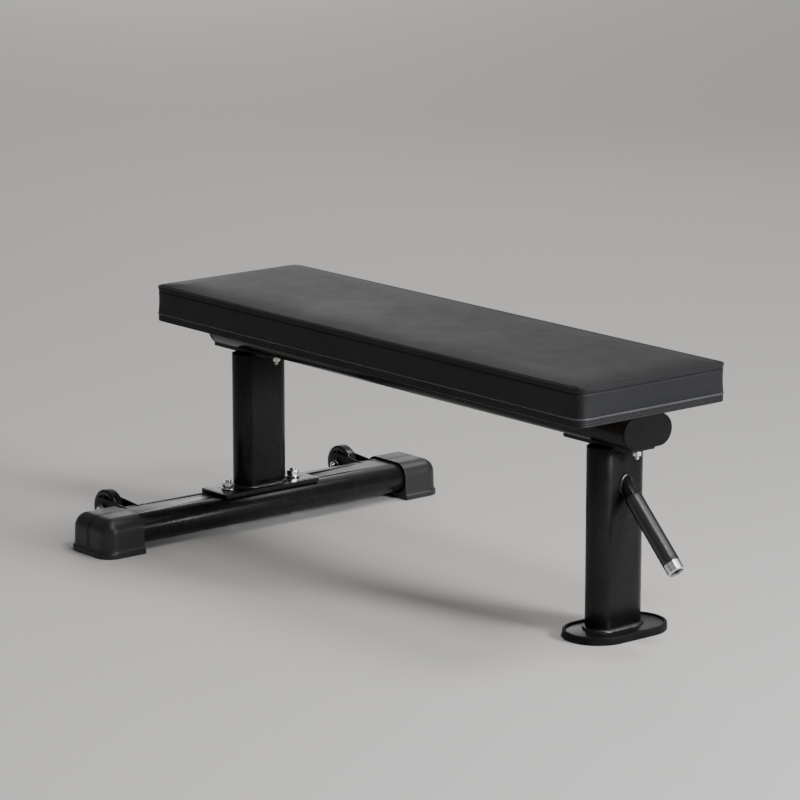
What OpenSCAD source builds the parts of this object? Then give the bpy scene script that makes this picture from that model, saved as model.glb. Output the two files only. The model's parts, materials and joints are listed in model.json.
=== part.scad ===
// Flat weight bench: one long padded top on a flat-oval steel frame.
// Two uprights carry the beam. The front one stands in an oval foot and has a
// lifting handle; the rear one stands on a cross tube with two transport wheels.
// +X runs to the handle end, +Z is up, and the origin is at the middle of the floor area.

/* [Pad] */
// Length of the pad
pad_len = 1090; // [800:10:1400]
// Width of the pad
pad_w = 312; // [240:2:400]
// Height of the crown of the pad above the floor
seat_h = 431; // [350:1:560]
// Corner radius of the pad in plan
pad_r = 18; // [12:1:40]
// Thickness of the plywood board
board_t = 15; // [11:1:20]
// Thickness of the grooved trim
trim_t = 3; // [2:0.5:5]
// Number of grooves along the trim
trim_grooves = 2; // [0:1:3]
// Height of the piping cord's bed
piping_h = 4; // [3:0.5:5]
// How far the piping stands proud of the trim
piping_out = 1.2; // [0.5:0.1:2]
// Height of the side band of the cover
band_h = 45; // [30:1:70]
// Rise of the crown above the side band's seam
crown_h = 6; // [3:1:12]
// Run of the soft edge between the seam and the crown
edge_run = 14; // [8:1:30]
// Thickness of the vinyl cover
cover_t = 1.2; // [1:0.1:2]

/* [Pad mounting] */
// Thickness of the two brackets between beam and pad
pad_bracket_t = 4; // [3:0.5:6]
// Size of a pad bracket along the bench
pad_bracket_l = 60; // [40:5:90]
// Distance of each pad bracket from the pad's end
pad_bracket_inset = 215; // [150:5:280]
// Distance between the two bolts of a pad bracket
pad_bolt_span = 190; // [160:5:210]

/* [Frame tubes] */
// Width of the flat-oval tube
tube_w = 102; // [85:1:125]
// Thickness of the flat-oval tube
tube_t = 51; // [42:1:62]
// Wall of the flat-oval tube
tube_wall = 2.5; // [1.5:0.5:4]
// Distance from the outer flange bolt of each upright to the end of the beam with its cap
beam_overhang = 25; // [20:1:60]
// Thickness of the head of a beam end cap
cap_t = 3; // [2:0.5:5]
// Distance from the pad's end to the centre of each upright
upright_inset = 90; // [85:1:160]

/* [Upper joints] */
// Thickness of the plate on top of each upright
flange_t = 6; // [4:0.5:10]
// Width of that plate
flange_w = 60; // [54:1:90]
// Distance from an upright's face to the flange bolt on that side
flange_bolt_gap = 24.5; // [16:0.5:32]
// Distance from the front flange bolt to the front end of the plate
flange_edge = 15; // [11:0.5:25]
// Distance from the rear flange bolt to the rear end of the plate
flange_tail = 43; // [11:0.5:60]
// Corner radius of the flat steel plates
plate_r = 10; // [4:1:18]

/* [Front base] */
// Length of the rubber foot across the bench
foot_w = 186; // [150:1:260]
// Size of the rubber foot along the bench
foot_l = 112; // [90:1:160]
// Height of the rubber foot
foot_h = 12.5; // [9:0.5:20]
// Thickness of rubber under the front plate
foot_pad_t = 4; // [2:0.5:6]
// Width of the raised rim of the foot
foot_rim = 6; // [4:0.5:10]
// Distance of the foot's centre in front of the upright's centre
foot_shift = 5; // [0:1:10]
// Thickness of the front base plate
front_plate_t = 6; // [4:0.5:8]

/* [Handle] */
// Distance from the top of the front upright down to the point where the handle's axis meets its face
handle_drop = 61; // [40:1:110]
// Length of the handle along its axis
handle_len = 166; // [120:1:200]
// Outer diameter of the handle tube
handle_d = 22; // [18:1:26]
// Bare length of tube between the upright and the grip
handle_bare = 24; // [16:1:50]
// Outer diameter of the grip
grip_d = 29; // [27:0.5:36]
// Length of the metal collar at the end of the grip
collar_l = 17; // [8:1:25]

/* [Rear base] */
// Overall width of the rear base over its two boots
base_w = 740; // [600:5:900]
// Height of the cross tube above the floor
base_clear = 11; // [6:0.5:20]
// Length of the rear base plate across the bench
rear_plate_w = 206; // [190:1:260]
// Distance that the rear base plate runs past the upright, along the bench
rear_plate_margin = 10.5; // [9.5:0.5:20]
// Thickness of the rear base plate
rear_plate_t = 6.5; // [4:0.5:10]
// Distance of the rear base plate's centre in front of the upright's centre
rear_plate_shift = 4; // [0:1:8]
// Distance from the upright's side to the base bolt on that side
base_bolt_gap = 20; // [16:0.5:26]

/* [Boots] */
// Length of a boot along the cross tube
boot_l = 82; // [60:1:110]
// Wall of a boot over the cross tube
boot_wall = 3.5; // [3:0.5:6]
// Height of the flange round the bottom of a boot
boot_flange_h = 9; // [5:0.5:12]
// How far the flange stands out
boot_flange_out = 4; // [2:0.5:6]
// Radius of the outer corners of a boot
boot_r = 27; // [18:1:30]

/* [Wheels] */
// Diameter of a transport wheel
wheel_d = 68; // [55:1:84]
// Width of a transport wheel
wheel_w = 20; // [14:1:28]
// Height of a wheel above the floor while the bench stands level
wheel_floor_gap = 12; // [6:1:20]
// Gap between a wheel and the cross tube
wheel_tube_gap = 5; // [3:0.5:10]
// Distance from the inner end of a boot to the wheel's centre plane
wheel_inset = 29; // [27:1:80]
// Side clearance between a wheel and each bracket plate
wheel_side_gap = 1.5; // [1:0.25:3]
// Thickness of a wheel bracket plate
fork_t = 4; // [3:0.5:6]
// Radius of a bracket plate round the axle
fork_r = 22; // [14:1:26]

/* [Fasteners] */
// Diameter of the flange, pad and axle bolts
bolt_d = 8; // [6:1:10]
// Diameter of the base bolts
base_bolt_d = 12; // [10:1:14]
// Radial clearance of a bolt in the hole it passes through
bolt_play = 0.25; // [0.15:0.05:0.5]
// Radial running clearance of a wheel bush on its axle bolt
axle_play = 0.05; // [0.02:0.01:0.1]
// Clearance between parts that slide over each other when put together
slip = 0.3; // [0.2:0.05:0.5]
// Leg length of a weld fillet
weld = 5; // [3:0.5:7]

/* [Hidden] */
$fn = 96;
eps = 0.01;
ends = ["rear", "front"];

// Heights, from the floor up
trim_h = board_t - piping_h;
pad_bottom = seat_h - crown_h - band_h - board_t;
piping_z = pad_bottom + trim_h;
band_z = piping_z + piping_h;
seam_z = band_z + band_h;
beam_top = pad_bottom - pad_bracket_t;
beam_z = beam_top - tube_t / 2;
beam_bottom = beam_top - tube_t;
flange_z = beam_bottom - flange_t;
front_plate_top = foot_pad_t + front_plate_t;
cross_z = base_clear + tube_t / 2;
cross_top = base_clear + tube_t;
rear_plate_top = cross_top + rear_plate_t;

// Places along the bench, from the middle of the pad
upright_x = pad_len / 2 - upright_inset;
face_x = upright_x + tube_t / 2;
flange_bolt_x = tube_t / 2 + flange_bolt_gap;
flange_len = 2 * flange_bolt_x + flange_edge + flange_tail;
flange_mid = (flange_edge - flange_tail) / 2;
beam_len = 2 * (upright_x + flange_bolt_x + beam_overhang);
pad_bracket_x = pad_len / 2 - pad_bracket_inset;
handle_angle = 45;
handle_h = flange_z - handle_drop;
sleeve_t = (grip_d - handle_d) / 2;
collar_edge = 2 / 7 * sleeve_t;
tip_x = face_x + (handle_len - collar_edge) * cos(handle_angle)
    + (grip_d / 2 - collar_edge) * sin(handle_angle) + collar_edge;

// Rear base. The cross tube stops where the boot's dome still covers its top edge
dome_r = boot_r - 2;
dome_run = dome_r - sqrt(pow(dome_r, 2) - pow(dome_r - boot_wall + slip, 2));
tube_end_y = base_w / 2 - boot_flange_out - dome_run - boot_wall;
boot_inner_y = base_w / 2 - boot_l;
boot_half = tube_w / 2 + boot_wall;
base_bolt_y = tube_w / 2 + base_bolt_gap;
base_bolt_x = -upright_x + rear_plate_shift;
rear_plate_l = tube_t + 2 * rear_plate_margin;

// Wheels
wheel_y = boot_inner_y - wheel_inset;
wheel_r = wheel_d / 2;
axle_z = wheel_floor_gap + wheel_r;
tube_round_x = -upright_x - (tube_w - tube_t) / 2;
axle_reach = tube_t / 2 + wheel_tube_gap + wheel_r;
axle_x = tube_round_x - sqrt(pow(axle_reach, 2) - pow(axle_z - cross_z, 2));
fork_gap = wheel_w / 2 + wheel_side_gap;

// The finished model is centred on the floor area that it covers
front_end = max(tip_x, pad_len / 2 + piping_out);
rear_end = min(axle_x - wheel_r, -pad_len / 2 - piping_out);
mid_x = (front_end + rear_end) / 2;

// Fastener sizes, as multiples of the thread
function nut_af(d) = d < 11 ? 1.625 * d : 1.583 * d;
function nut_h(d) = 0.85 * d;
function head_h(d) = 0.65 * d;
function washer_d(d) = 2.05 * d;
function washer_t(d) = 0.2 * d;
function side_sign(side) = side == "left" ? -1 : 1;
function end_sign(end) = end == "rear" ? -1 : 1;

// Where a line from point p touches the circle of radius r about c, on one side of it
function touch(p, c, r, side) =
    let (d = p - c, far = norm(d), turn = atan2(d[1], d[0]) + side * acos(r / far))
    c + r * [cos(turn), sin(turn)];

// ---- Shared shapes ----

module placed() {
    translate([-mid_x, 0, 0]) children();
}

// Flat oval, w wide along Y and t along X
module oval(w, t) {
    square([t, w - t], center = true);
    for (s = [-1, 1]) translate([0, s * (w - t) / 2]) circle(d = t);
}

module oval_tube(len) {
    linear_extrude(len) difference() {
        oval(tube_w, tube_t);
        oval(tube_w - 2 * tube_wall, tube_t - 2 * tube_wall);
    }
}

module round_rect(l, w, r) {
    square([l - 2 * r, w], center = true);
    square([l, w - 2 * r], center = true);
    for (sx = [-1, 1], sy = [-1, 1])
        translate([sx * (l / 2 - r), sy * (w / 2 - r)]) circle(r);
}

// The pad's outline, moved in by inset
module pad_outline(inset) {
    round_rect(pad_len - 2 * inset, pad_w - 2 * inset, pad_r - inset);
}

// A band that follows the pad's outline between two insets
module pad_band(outer, inner, h) {
    linear_extrude(h) difference() {
        pad_outline(outer);
        pad_outline(inner);
    }
}

// A closed block with the pad's outline and its crowned top, moved in by inset
module pad_block(inset, z_from) {
    hull() {
        translate([0, 0, z_from]) linear_extrude(seam_z - z_from) pad_outline(inset);
        translate([0, 0, seam_z]) linear_extrude(crown_h - inset)
            round_rect(pad_len - 2 * edge_run, pad_w - 2 * edge_run, pad_r);
    }
}

// Fillet weld round a flat-oval tube that stands on z = 0
module oval_weld() {
    bead = [[0, 0], [weld, 0], [0.8 * weld, 0.55 * weld], [0.55 * weld, 0.8 * weld], [0, weld]];
    straight = tube_w - tube_t;
    for (s = [0, 180]) rotate(s) {
        translate([0, straight / 2, 0]) rotate_extrude(angle = 180)
            translate([tube_t / 2, 0]) polygon(bead);
        translate([tube_t / 2, straight / 2, 0]) rotate([90, 0, 0])
            linear_extrude(straight) polygon(bead);
    }
}

module hex_prism(af, h) {
    cylinder(d = af / cos(30), h = h, $fn = 6);
}

// Nut standing on z = 0
module nut(d) {
    difference() {
        hex_prism(nut_af(d), nut_h(d));
        translate([0, 0, -eps]) cylinder(d = d, h = nut_h(d) + 2 * eps);
    }
}

// Washer standing on z = 0
module washer(d, outer, t) {
    difference() {
        cylinder(d = outer, h = t);
        translate([0, 0, -eps]) cylinder(d = d + 2 * bolt_play, h = t + 2 * eps);
    }
}

// Hex bolt with its head below z = 0 and its shank up to z = len
module hex_bolt(d, len) {
    translate([0, 0, -head_h(d)]) hex_prism(nut_af(d), head_h(d));
    cylinder(d = d, h = len);
}

module bolt_hole(d, h) {
    translate([0, 0, -eps]) cylinder(d = d + 2 * bolt_play, h = h + 2 * eps);
}

// Puts children at each flange bolt of one end
module at_flange_bolts(end) {
    for (s = [-1, 1])
        translate([end_sign(end) * upright_x + s * flange_bolt_x, 0, 0]) children();
}

// Puts children at each pad bolt of one end
module at_pad_bolts(end) {
    for (s = [-1, 1])
        translate([end_sign(end) * pad_bracket_x, s * pad_bolt_span / 2, 0]) children();
}

module at_base_bolts() {
    for (s = [-1, 1]) translate([base_bolt_x, s * base_bolt_y, 0]) children();
}

// ---- Pad ----

module pad_cover() {
    color([0.13, 0.13, 0.14]) placed() difference() {
        pad_block(0, band_z);
        pad_block(cover_t, band_z - 1);
    }
}

module pad_foam() {
    color([0.85, 0.8, 0.6]) placed() pad_block(cover_t, band_z);
}

tee_flange_d = 2.4 * bolt_d;
tee_flange_t = 1.5;
tee_barrel_d = 1.3 * bolt_d;

module pad_board() {
    color([0.72, 0.55, 0.36]) placed() difference() {
        translate([0, 0, pad_bottom]) linear_extrude(board_t) pad_outline(trim_t);
        for (end = ends) at_pad_bolts(end) {
            translate([0, 0, pad_bottom - eps]) cylinder(d = tee_barrel_d, h = board_t + 1);
            translate([0, 0, pad_bottom + board_t - tee_flange_t]) cylinder(d = tee_flange_d, h = 5);
        }
    }
}

module pad_trim() {
    groove_h = 1;
    groove_d = 0.8;
    pitch = trim_h / (trim_grooves + 1);
    color([0.16, 0.16, 0.17]) placed() translate([0, 0, pad_bottom]) difference() {
        pad_band(0, trim_t, trim_h);
        for (i = [1 : 1 : trim_grooves])
            translate([0, 0, i * pitch - groove_h / 2]) pad_band(-1, groove_d, groove_h);
    }
}

module pad_piping() {
    color([0.6, 0.6, 0.62]) placed() translate([0, 0, piping_z])
        pad_band(-piping_out, trim_t, piping_h);
}

module pad_bracket(end) {
    color([0.1, 0.1, 0.1]) placed() difference() {
        translate([end_sign(end) * pad_bracket_x, 0, beam_top]) linear_extrude(pad_bracket_t)
            round_rect(pad_bracket_l, pad_bolt_span + 2 * flange_edge, plate_r);
        at_pad_bolts(end) translate([0, 0, beam_top]) bolt_hole(bolt_d, pad_bracket_t);
    }
}

module front_pad_bracket() { pad_bracket("front"); }
module rear_pad_bracket() { pad_bracket("rear"); }

pad_bolt_z = beam_top - washer_t(bolt_d);

module pad_bolts() {
    color("silver") placed() for (end = ends) at_pad_bolts(end)
        translate([0, 0, pad_bolt_z]) hex_bolt(bolt_d, pad_bottom - pad_bolt_z + board_t - 3);
}

module pad_bolt_washers() {
    color("silver") placed() for (end = ends) at_pad_bolts(end)
        translate([0, 0, pad_bolt_z]) washer(bolt_d, washer_d(bolt_d), washer_t(bolt_d));
}

module pad_tee_nuts() {
    color("silver") placed() for (end = ends) at_pad_bolts(end)
        translate([0, 0, pad_bottom]) difference() {
            union() {
                cylinder(d = tee_barrel_d, h = board_t - eps);
                translate([0, 0, board_t - tee_flange_t]) cylinder(d = tee_flange_d, h = tee_flange_t);
            }
            translate([0, 0, -eps]) cylinder(d = bolt_d, h = board_t + 1);
        }
}

// ---- Beam ----

module main_beam() {
    tube_len = beam_len - 2 * cap_t;
    color([0.1, 0.1, 0.11]) placed() difference() {
        translate([-tube_len / 2, 0, beam_z]) rotate([0, 90, 0]) oval_tube(tube_len);
        for (end = ends) at_flange_bolts(end)
            translate([0, 0, beam_bottom]) bolt_hole(bolt_d, tube_wall + 1);
    }
}

module beam_cap(end) {
    bolt_head_r = 1.1 * bolt_d;
    plug_depth = beam_overhang - cap_t - bolt_head_r - 1;
    plug_wall = 3;
    inside = 2 * (tube_wall + slip);
    color([0.07, 0.07, 0.07]) placed() translate([end_sign(end) * (beam_len / 2 - cap_t), 0, beam_z])
        rotate([0, end_sign(end) * 90, 0]) {
            linear_extrude(cap_t) oval(tube_w, tube_t);
            translate([0, 0, -plug_depth]) linear_extrude(plug_depth) difference() {
                oval(tube_w - inside, tube_t - inside);
                oval(tube_w - inside - 2 * plug_wall, tube_t - inside - 2 * plug_wall);
            }
        }
}

module front_beam_cap() { beam_cap("front"); }
module rear_beam_cap() { beam_cap("rear"); }

// ---- Joints between beam and uprights ----

module flange_plate(end) {
    color([0.1, 0.1, 0.11]) placed() difference() {
        translate([end_sign(end) * upright_x + flange_mid, 0, flange_z]) linear_extrude(flange_t)
            round_rect(flange_len, flange_w, plate_r);
        at_flange_bolts(end) translate([0, 0, flange_z]) bolt_hole(bolt_d, flange_t);
    }
}

module front_flange_plate() { flange_plate("front"); }
module rear_flange_plate() { flange_plate("rear"); }

washer_z = flange_z - washer_t(bolt_d);
spring_t = 0.27 * bolt_d;
spring_z = washer_z - spring_t;
flange_nut_z = spring_z - nut_h(bolt_d);
flange_bolt_tail = 0.75 * bolt_d;

// Round-headed bolts with their heads inside the beam
module flange_bolts() {
    tail_z = flange_nut_z - flange_bolt_tail;
    color("silver") placed() for (end = ends) at_flange_bolts(end) {
        translate([0, 0, tail_z]) cylinder(d = bolt_d, h = beam_bottom + tube_wall - tail_z + eps);
        translate([0, 0, beam_bottom + tube_wall]) cylinder(d = 2.2 * bolt_d, h = 0.55 * bolt_d);
    }
}

module flange_washers() {
    color("silver") placed() for (end = ends) at_flange_bolts(end)
        translate([0, 0, washer_z]) washer(bolt_d, washer_d(bolt_d), washer_t(bolt_d));
}

module flange_spring_washers() {
    gap = 0.2 * bolt_d;
    color("silver") placed() for (end = ends) at_flange_bolts(end)
        translate([0, 0, spring_z]) difference() {
            washer(bolt_d, 1.6 * bolt_d, spring_t);
            translate([0, -gap / 2, -eps]) cube([bolt_d, gap, spring_t + 2 * eps]);
        }
}

module flange_nuts() {
    color("gainsboro") placed() for (end = ends) at_flange_bolts(end)
        translate([0, 0, flange_nut_z]) nut(bolt_d);
}

// ---- Uprights ----

module upright(end, foot_z) {
    color([0.1, 0.1, 0.11]) placed() translate([end_sign(end) * upright_x, 0, foot_z])
        oval_tube(flange_z - foot_z);
}

module front_upright() { upright("front", front_plate_top); }
module rear_upright() { upright("rear", rear_plate_top); }

// The plate is narrower than the tube, so the top weld runs along the flat faces only
module oval_weld_narrow() {
    run = min(tube_w - tube_t, flange_w - 2 * weld);
    for (s = [0, 180]) rotate(s)
        translate([tube_t / 2, run / 2, 0]) rotate([90, 0, 0])
            linear_extrude(run) polygon([[0, 0], [weld, 0], [0.6 * weld, 0.6 * weld], [0, weld]]);
}

module top_weld(end) {
    color([0.2, 0.2, 0.2]) placed() translate([end_sign(end) * upright_x, 0, flange_z])
        mirror([0, 0, 1]) oval_weld_narrow();
}

module front_top_weld() { top_weld("front"); }
module rear_top_weld() { top_weld("rear"); }

module base_weld(end, foot_z) {
    color([0.2, 0.2, 0.2]) placed() translate([end_sign(end) * upright_x, 0, foot_z]) oval_weld();
}

module front_base_weld() { base_weld("front", front_plate_top); }
module rear_base_weld() { base_weld("rear", rear_plate_top); }

// ---- Front base ----

module front_base_plate() {
    color([0.12, 0.12, 0.12]) placed() translate([upright_x + foot_shift, 0, foot_pad_t])
        linear_extrude(front_plate_t)
            oval(foot_w - 2 * (foot_rim + slip), foot_l - 2 * (foot_rim + slip));
}

module front_foot() {
    color([0.05, 0.05, 0.05]) placed() translate([upright_x + foot_shift, 0, 0]) difference() {
        linear_extrude(foot_h) oval(foot_w, foot_l);
        translate([0, 0, foot_pad_t]) linear_extrude(foot_h)
            oval(foot_w - 2 * foot_rim, foot_l - 2 * foot_rim);
    }
}

// ---- Handle ----

// Frame with +Z along the handle's axis, from the upright's front face
module along_handle() {
    translate([face_x, 0, handle_h]) rotate([0, 90 + handle_angle, 0]) children();
}

// Everything in front of the upright's face, to a depth
module in_front(depth) {
    translate([face_x, -grip_d, handle_h - handle_len]) cube([depth, 2 * grip_d, 2 * handle_len]);
}

module handle_tube() {
    handle_wall = 2;
    color([0.1, 0.1, 0.11]) placed() difference() {
        intersection() {
            along_handle() translate([0, 0, -handle_d]) cylinder(d = handle_d, h = handle_d + handle_len);
            in_front(handle_len);
        }
        along_handle() translate([0, 0, -2 * handle_d])
            cylinder(d = handle_d - 2 * handle_wall, h = 3 * handle_d + handle_len);
    }
}

module handle_weld() {
    color([0.2, 0.2, 0.2]) placed() difference() {
        intersection() {
            along_handle() translate([0, 0, -handle_d]) cylinder(d = handle_d + weld, h = 3 * handle_d);
            in_front(0.7 * weld);
        }
        along_handle() translate([0, 0, -2 * handle_d]) cylinder(d = handle_d, h = 4 * handle_d);
    }
}

// Sleeve with rounded ends, standing on z = 0
module sleeve(outer, inner, h, edge) {
    rotate_extrude() difference() {
        union() {
            translate([inner / 2, 0]) square([(outer - inner) / 2 - edge, h]);
            translate([inner / 2, edge]) square([(outer - inner) / 2, h - 2 * edge]);
            for (z = [edge, h - edge]) translate([outer / 2 - edge, z]) circle(edge, $fn = 32);
        }
    }
}

module handle_grip() {
    color([0.04, 0.04, 0.04]) placed() along_handle() translate([0, 0, handle_bare])
        sleeve(grip_d, handle_d, handle_len - handle_bare - collar_l, 0.4 * sleeve_t);
}

module handle_collar() {
    color([0.8, 0.8, 0.82]) placed() along_handle() translate([0, 0, handle_len - collar_l])
        sleeve(grip_d, handle_d, collar_l, collar_edge);
}

// ---- Rear base ----

module rear_base_plate() {
    color([0.1, 0.1, 0.11]) placed() difference() {
        translate([base_bolt_x, 0, cross_top]) linear_extrude(rear_plate_t)
            round_rect(rear_plate_l, rear_plate_w, 3);
        at_base_bolts() translate([0, 0, cross_top]) bolt_hole(base_bolt_d, rear_plate_t);
    }
}

module rear_cross_tube() {
    color([0.12, 0.12, 0.13]) placed() difference() {
        translate([-upright_x, tube_end_y, cross_z]) rotate([90, 0, 0]) rotate(90) oval_tube(2 * tube_end_y);
        at_base_bolts() translate([0, 0, base_clear]) bolt_hole(base_bolt_d, tube_t);
    }
}

base_nut_z = rear_plate_top + washer_t(base_bolt_d);

module base_bolts() {
    tail = 4;
    color("silver") placed() at_base_bolts() translate([0, 0, base_clear])
        hex_bolt(base_bolt_d, base_nut_z + nut_h(base_bolt_d) + tail - base_clear);
}

module base_washers() {
    color("silver") placed() at_base_bolts() translate([0, 0, rear_plate_top])
        washer(base_bolt_d, washer_d(base_bolt_d), washer_t(base_bolt_d));
}

module base_nuts() {
    color("gainsboro") placed() at_base_bolts() translate([0, 0, base_nut_z]) nut(base_bolt_d);
}

// Plan outline of a boot with its outer end towards +Y
module boot_plan(half, y_end) {
    translate([-half, boot_inner_y]) square([2 * half, y_end - boot_r - boot_inner_y]);
    translate([-half + boot_r, boot_inner_y]) square([2 * (half - boot_r), y_end - boot_inner_y]);
    for (s = [-1, 1]) translate([s * (half - boot_r), y_end - boot_r]) circle(boot_r);
}

module boot(side) {
    body_end = base_w / 2 - boot_flange_out;
    dome_z = cross_top + boot_wall - dome_r;
    color([0.08, 0.08, 0.08]) placed() translate([-upright_x, 0, 0]) mirror([0, side == "left" ? 1 : 0, 0])
        difference() {
            union() {
                linear_extrude(boot_flange_h) boot_plan(boot_half + boot_flange_out, base_w / 2);
                hull() {
                    linear_extrude(boot_flange_h) boot_plan(boot_half, body_end);
                    for (s = [-1, 1]) translate([s * (boot_half - dome_r), body_end - dome_r, dome_z])
                        sphere(dome_r, $fn = 48);
                    for (s = [-1, 1]) translate([s * (boot_half - dome_r), boot_inner_y, dome_z])
                        rotate([-90, 0, 0]) cylinder(r = dome_r, h = 1, $fn = 48);
                }
            }
            translate([0, tube_end_y + slip, cross_z]) rotate([90, 0, 0]) rotate(90)
                linear_extrude(tube_end_y) oval(tube_w + 2 * slip, tube_t + 2 * slip);
        }
}

module left_boot() { boot("left"); }
module right_boot() { boot("right"); }

// ---- Wheels ----

module wheel_at(side) {
    placed() translate([axle_x, side_sign(side) * wheel_y, axle_z])
        mirror([0, side == "left" ? 1 : 0, 0]) rotate([-90, 0, 0]) children();
}

bush_d = 1.6 * bolt_d;

module wheel(side) {
    tyre = 9;
    edge = 5;
    web_t = 0.45 * wheel_w;
    hub_r = bush_d / 2 + 5;
    color([0.06, 0.06, 0.06]) wheel_at(side) rotate_extrude() {
        translate([wheel_r - tyre, -wheel_w / 2]) square([tyre - edge, wheel_w]);
        translate([wheel_r - tyre, -wheel_w / 2 + edge]) square([tyre, wheel_w - 2 * edge]);
        for (s = [-1, 1]) translate([wheel_r - edge, s * (wheel_w / 2 - edge)]) circle(edge, $fn = 48);
        translate([hub_r - 1, -web_t / 2]) square([wheel_r - tyre - hub_r + 2, web_t]);
        translate([bush_d / 2, -wheel_w / 2]) square([hub_r - bush_d / 2, wheel_w]);
    }
}

module left_wheel() { wheel("left"); }
module right_wheel() { wheel("right"); }

module wheel_bush(side) {
    bush_len = 2 * (fork_gap - slip);
    color("gainsboro") wheel_at(side) difference() {
        cylinder(d = bush_d, h = bush_len, center = true);
        cylinder(d = bolt_d + 2 * axle_play, h = bush_len + 1, center = true);
    }
}

module left_wheel_bush() { wheel_bush("left"); }
module right_wheel_bush() { wheel_bush("right"); }

// One plate beside a wheel, welded to the round back of the cross tube
module fork(side, place) {
    axle = [axle_x, axle_z];
    tip = [tube_round_x + 11, cross_top];
    low = [tube_round_x, base_clear + 3];
    inner_y = wheel_y + (place == "outer" ? fork_gap : -fork_gap - fork_t);
    color([0.1, 0.1, 0.11]) placed() mirror([0, side == "left" ? 1 : 0, 0])
        translate([0, inner_y + fork_t, 0]) rotate([90, 0, 0]) linear_extrude(fork_t) difference() {
            union() {
                translate(axle) circle(fork_r);
                polygon([tip, touch(tip, axle, fork_r, 1), axle, touch(low, axle, fork_r, -1), low,
                         [tube_round_x, cross_z]]);
            }
            translate([-upright_x, cross_z]) rotate(90) oval(tube_w, tube_t);
            translate(axle) circle(d = bolt_d + 2 * bolt_play);
        }
}

module left_inner_fork() { fork("left", "inner"); }
module left_outer_fork() { fork("left", "outer"); }
module right_inner_fork() { fork("right", "inner"); }
module right_outer_fork() { fork("right", "outer"); }

axle_stack = fork_gap + fork_t + washer_t(bolt_d);

// Bolt with its head on the outer side of the wheel
module axle_bolt(side) {
    tail = 3;
    color("silver") wheel_at(side) rotate([180, 0, 0]) translate([0, 0, -axle_stack])
        hex_bolt(bolt_d, 2 * axle_stack + nut_h(bolt_d) + tail);
}

module left_axle_bolt() { axle_bolt("left"); }
module right_axle_bolt() { axle_bolt("right"); }

module axle_washers(side) {
    color("silver") wheel_at(side) for (z = [fork_gap + fork_t, -axle_stack])
        translate([0, 0, z]) washer(bolt_d, washer_d(bolt_d), washer_t(bolt_d));
}

module left_axle_washers() { axle_washers("left"); }
module right_axle_washers() { axle_washers("right"); }

module axle_nut(side) {
    color("gainsboro") wheel_at(side) translate([0, 0, -axle_stack - nut_h(bolt_d)]) nut(bolt_d);
}

module left_axle_nut() { axle_nut("left"); }
module right_axle_nut() { axle_nut("right"); }

pad_cover();
pad_foam();
pad_board();
pad_trim();
pad_piping();
front_pad_bracket();
rear_pad_bracket();
pad_bolts();
pad_bolt_washers();
pad_tee_nuts();
main_beam();
front_beam_cap();
rear_beam_cap();
front_flange_plate();
rear_flange_plate();
flange_bolts();
flange_washers();
flange_spring_washers();
flange_nuts();
front_upright();
rear_upright();
front_top_weld();
rear_top_weld();
front_base_weld();
rear_base_weld();
front_base_plate();
front_foot();
handle_tube();
handle_weld();
handle_grip();
handle_collar();
rear_base_plate();
rear_cross_tube();
base_bolts();
base_washers();
base_nuts();
left_boot();
right_boot();
left_inner_fork();
left_outer_fork();
right_inner_fork();
right_outer_fork();
left_wheel();
left_wheel_bush();
left_axle_bolt();
left_axle_washers();
left_axle_nut();
right_wheel();
right_wheel_bush();
right_axle_bolt();
right_axle_washers();
right_axle_nut();
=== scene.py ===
import json
import math
import random

import bmesh
import bpy
import numpy as np
from mathutils import Matrix, Vector, noise
from mathutils.bvhtree import BVHTree


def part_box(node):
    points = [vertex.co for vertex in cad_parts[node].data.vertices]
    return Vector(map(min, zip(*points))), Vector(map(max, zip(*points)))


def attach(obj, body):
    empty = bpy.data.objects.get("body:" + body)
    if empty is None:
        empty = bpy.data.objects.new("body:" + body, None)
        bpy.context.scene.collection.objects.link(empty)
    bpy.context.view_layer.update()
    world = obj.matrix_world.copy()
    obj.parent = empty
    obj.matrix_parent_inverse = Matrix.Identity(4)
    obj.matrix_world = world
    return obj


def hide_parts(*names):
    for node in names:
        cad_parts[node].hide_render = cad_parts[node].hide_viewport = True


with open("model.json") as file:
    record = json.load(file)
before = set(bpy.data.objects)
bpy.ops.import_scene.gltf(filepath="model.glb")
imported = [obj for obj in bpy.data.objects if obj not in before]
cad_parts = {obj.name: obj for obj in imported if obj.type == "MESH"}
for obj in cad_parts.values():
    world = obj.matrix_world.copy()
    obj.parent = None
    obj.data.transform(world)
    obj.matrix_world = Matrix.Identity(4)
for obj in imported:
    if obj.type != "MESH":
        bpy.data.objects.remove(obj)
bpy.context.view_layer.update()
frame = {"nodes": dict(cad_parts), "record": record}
nodes = frame["nodes"]
print("frame loaded,", len(nodes), "nodes")


def boxOf(name):
    low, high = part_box(name)
    return np.array(low), np.array(high)


padLow, padHigh = boxOf("pad_cover")
padMid = (padLow + padHigh) / 2

cameraLook = {
    "aimFromPad": (0.107, -0.146, 0.334),   # along and across from the pad's middle, and above the floor
    "azimuth": 50.31,                        # degrees round the bench
    "elevation": 12.64,                      # degrees above level
    "distance": 6.0,
    "lens": 168.7,
    "sensor": 36,
    "farthest": 60,
}


def makeCamera(look):
    turn, rise = math.radians(look["azimuth"]), math.radians(look["elevation"])
    forward = Vector((-math.sin(turn) * math.cos(rise), math.cos(turn) * math.cos(rise), -math.sin(rise)))
    aim = Vector(look["aimFromPad"]) + Vector((padMid[0], padMid[1], 0))
    data = bpy.data.cameras.new("benchCamera")
    data.lens = look["lens"]
    data.sensor_width = look["sensor"]
    data.clip_end = look["farthest"]
    camera = bpy.data.objects.new("benchCamera", data)
    camera.location = aim - forward * look["distance"]
    camera.rotation_euler = forward.to_track_quat("-Z", "Y").to_euler()
    bpy.context.scene.collection.objects.link(camera)
    bpy.context.scene.camera = camera


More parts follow.
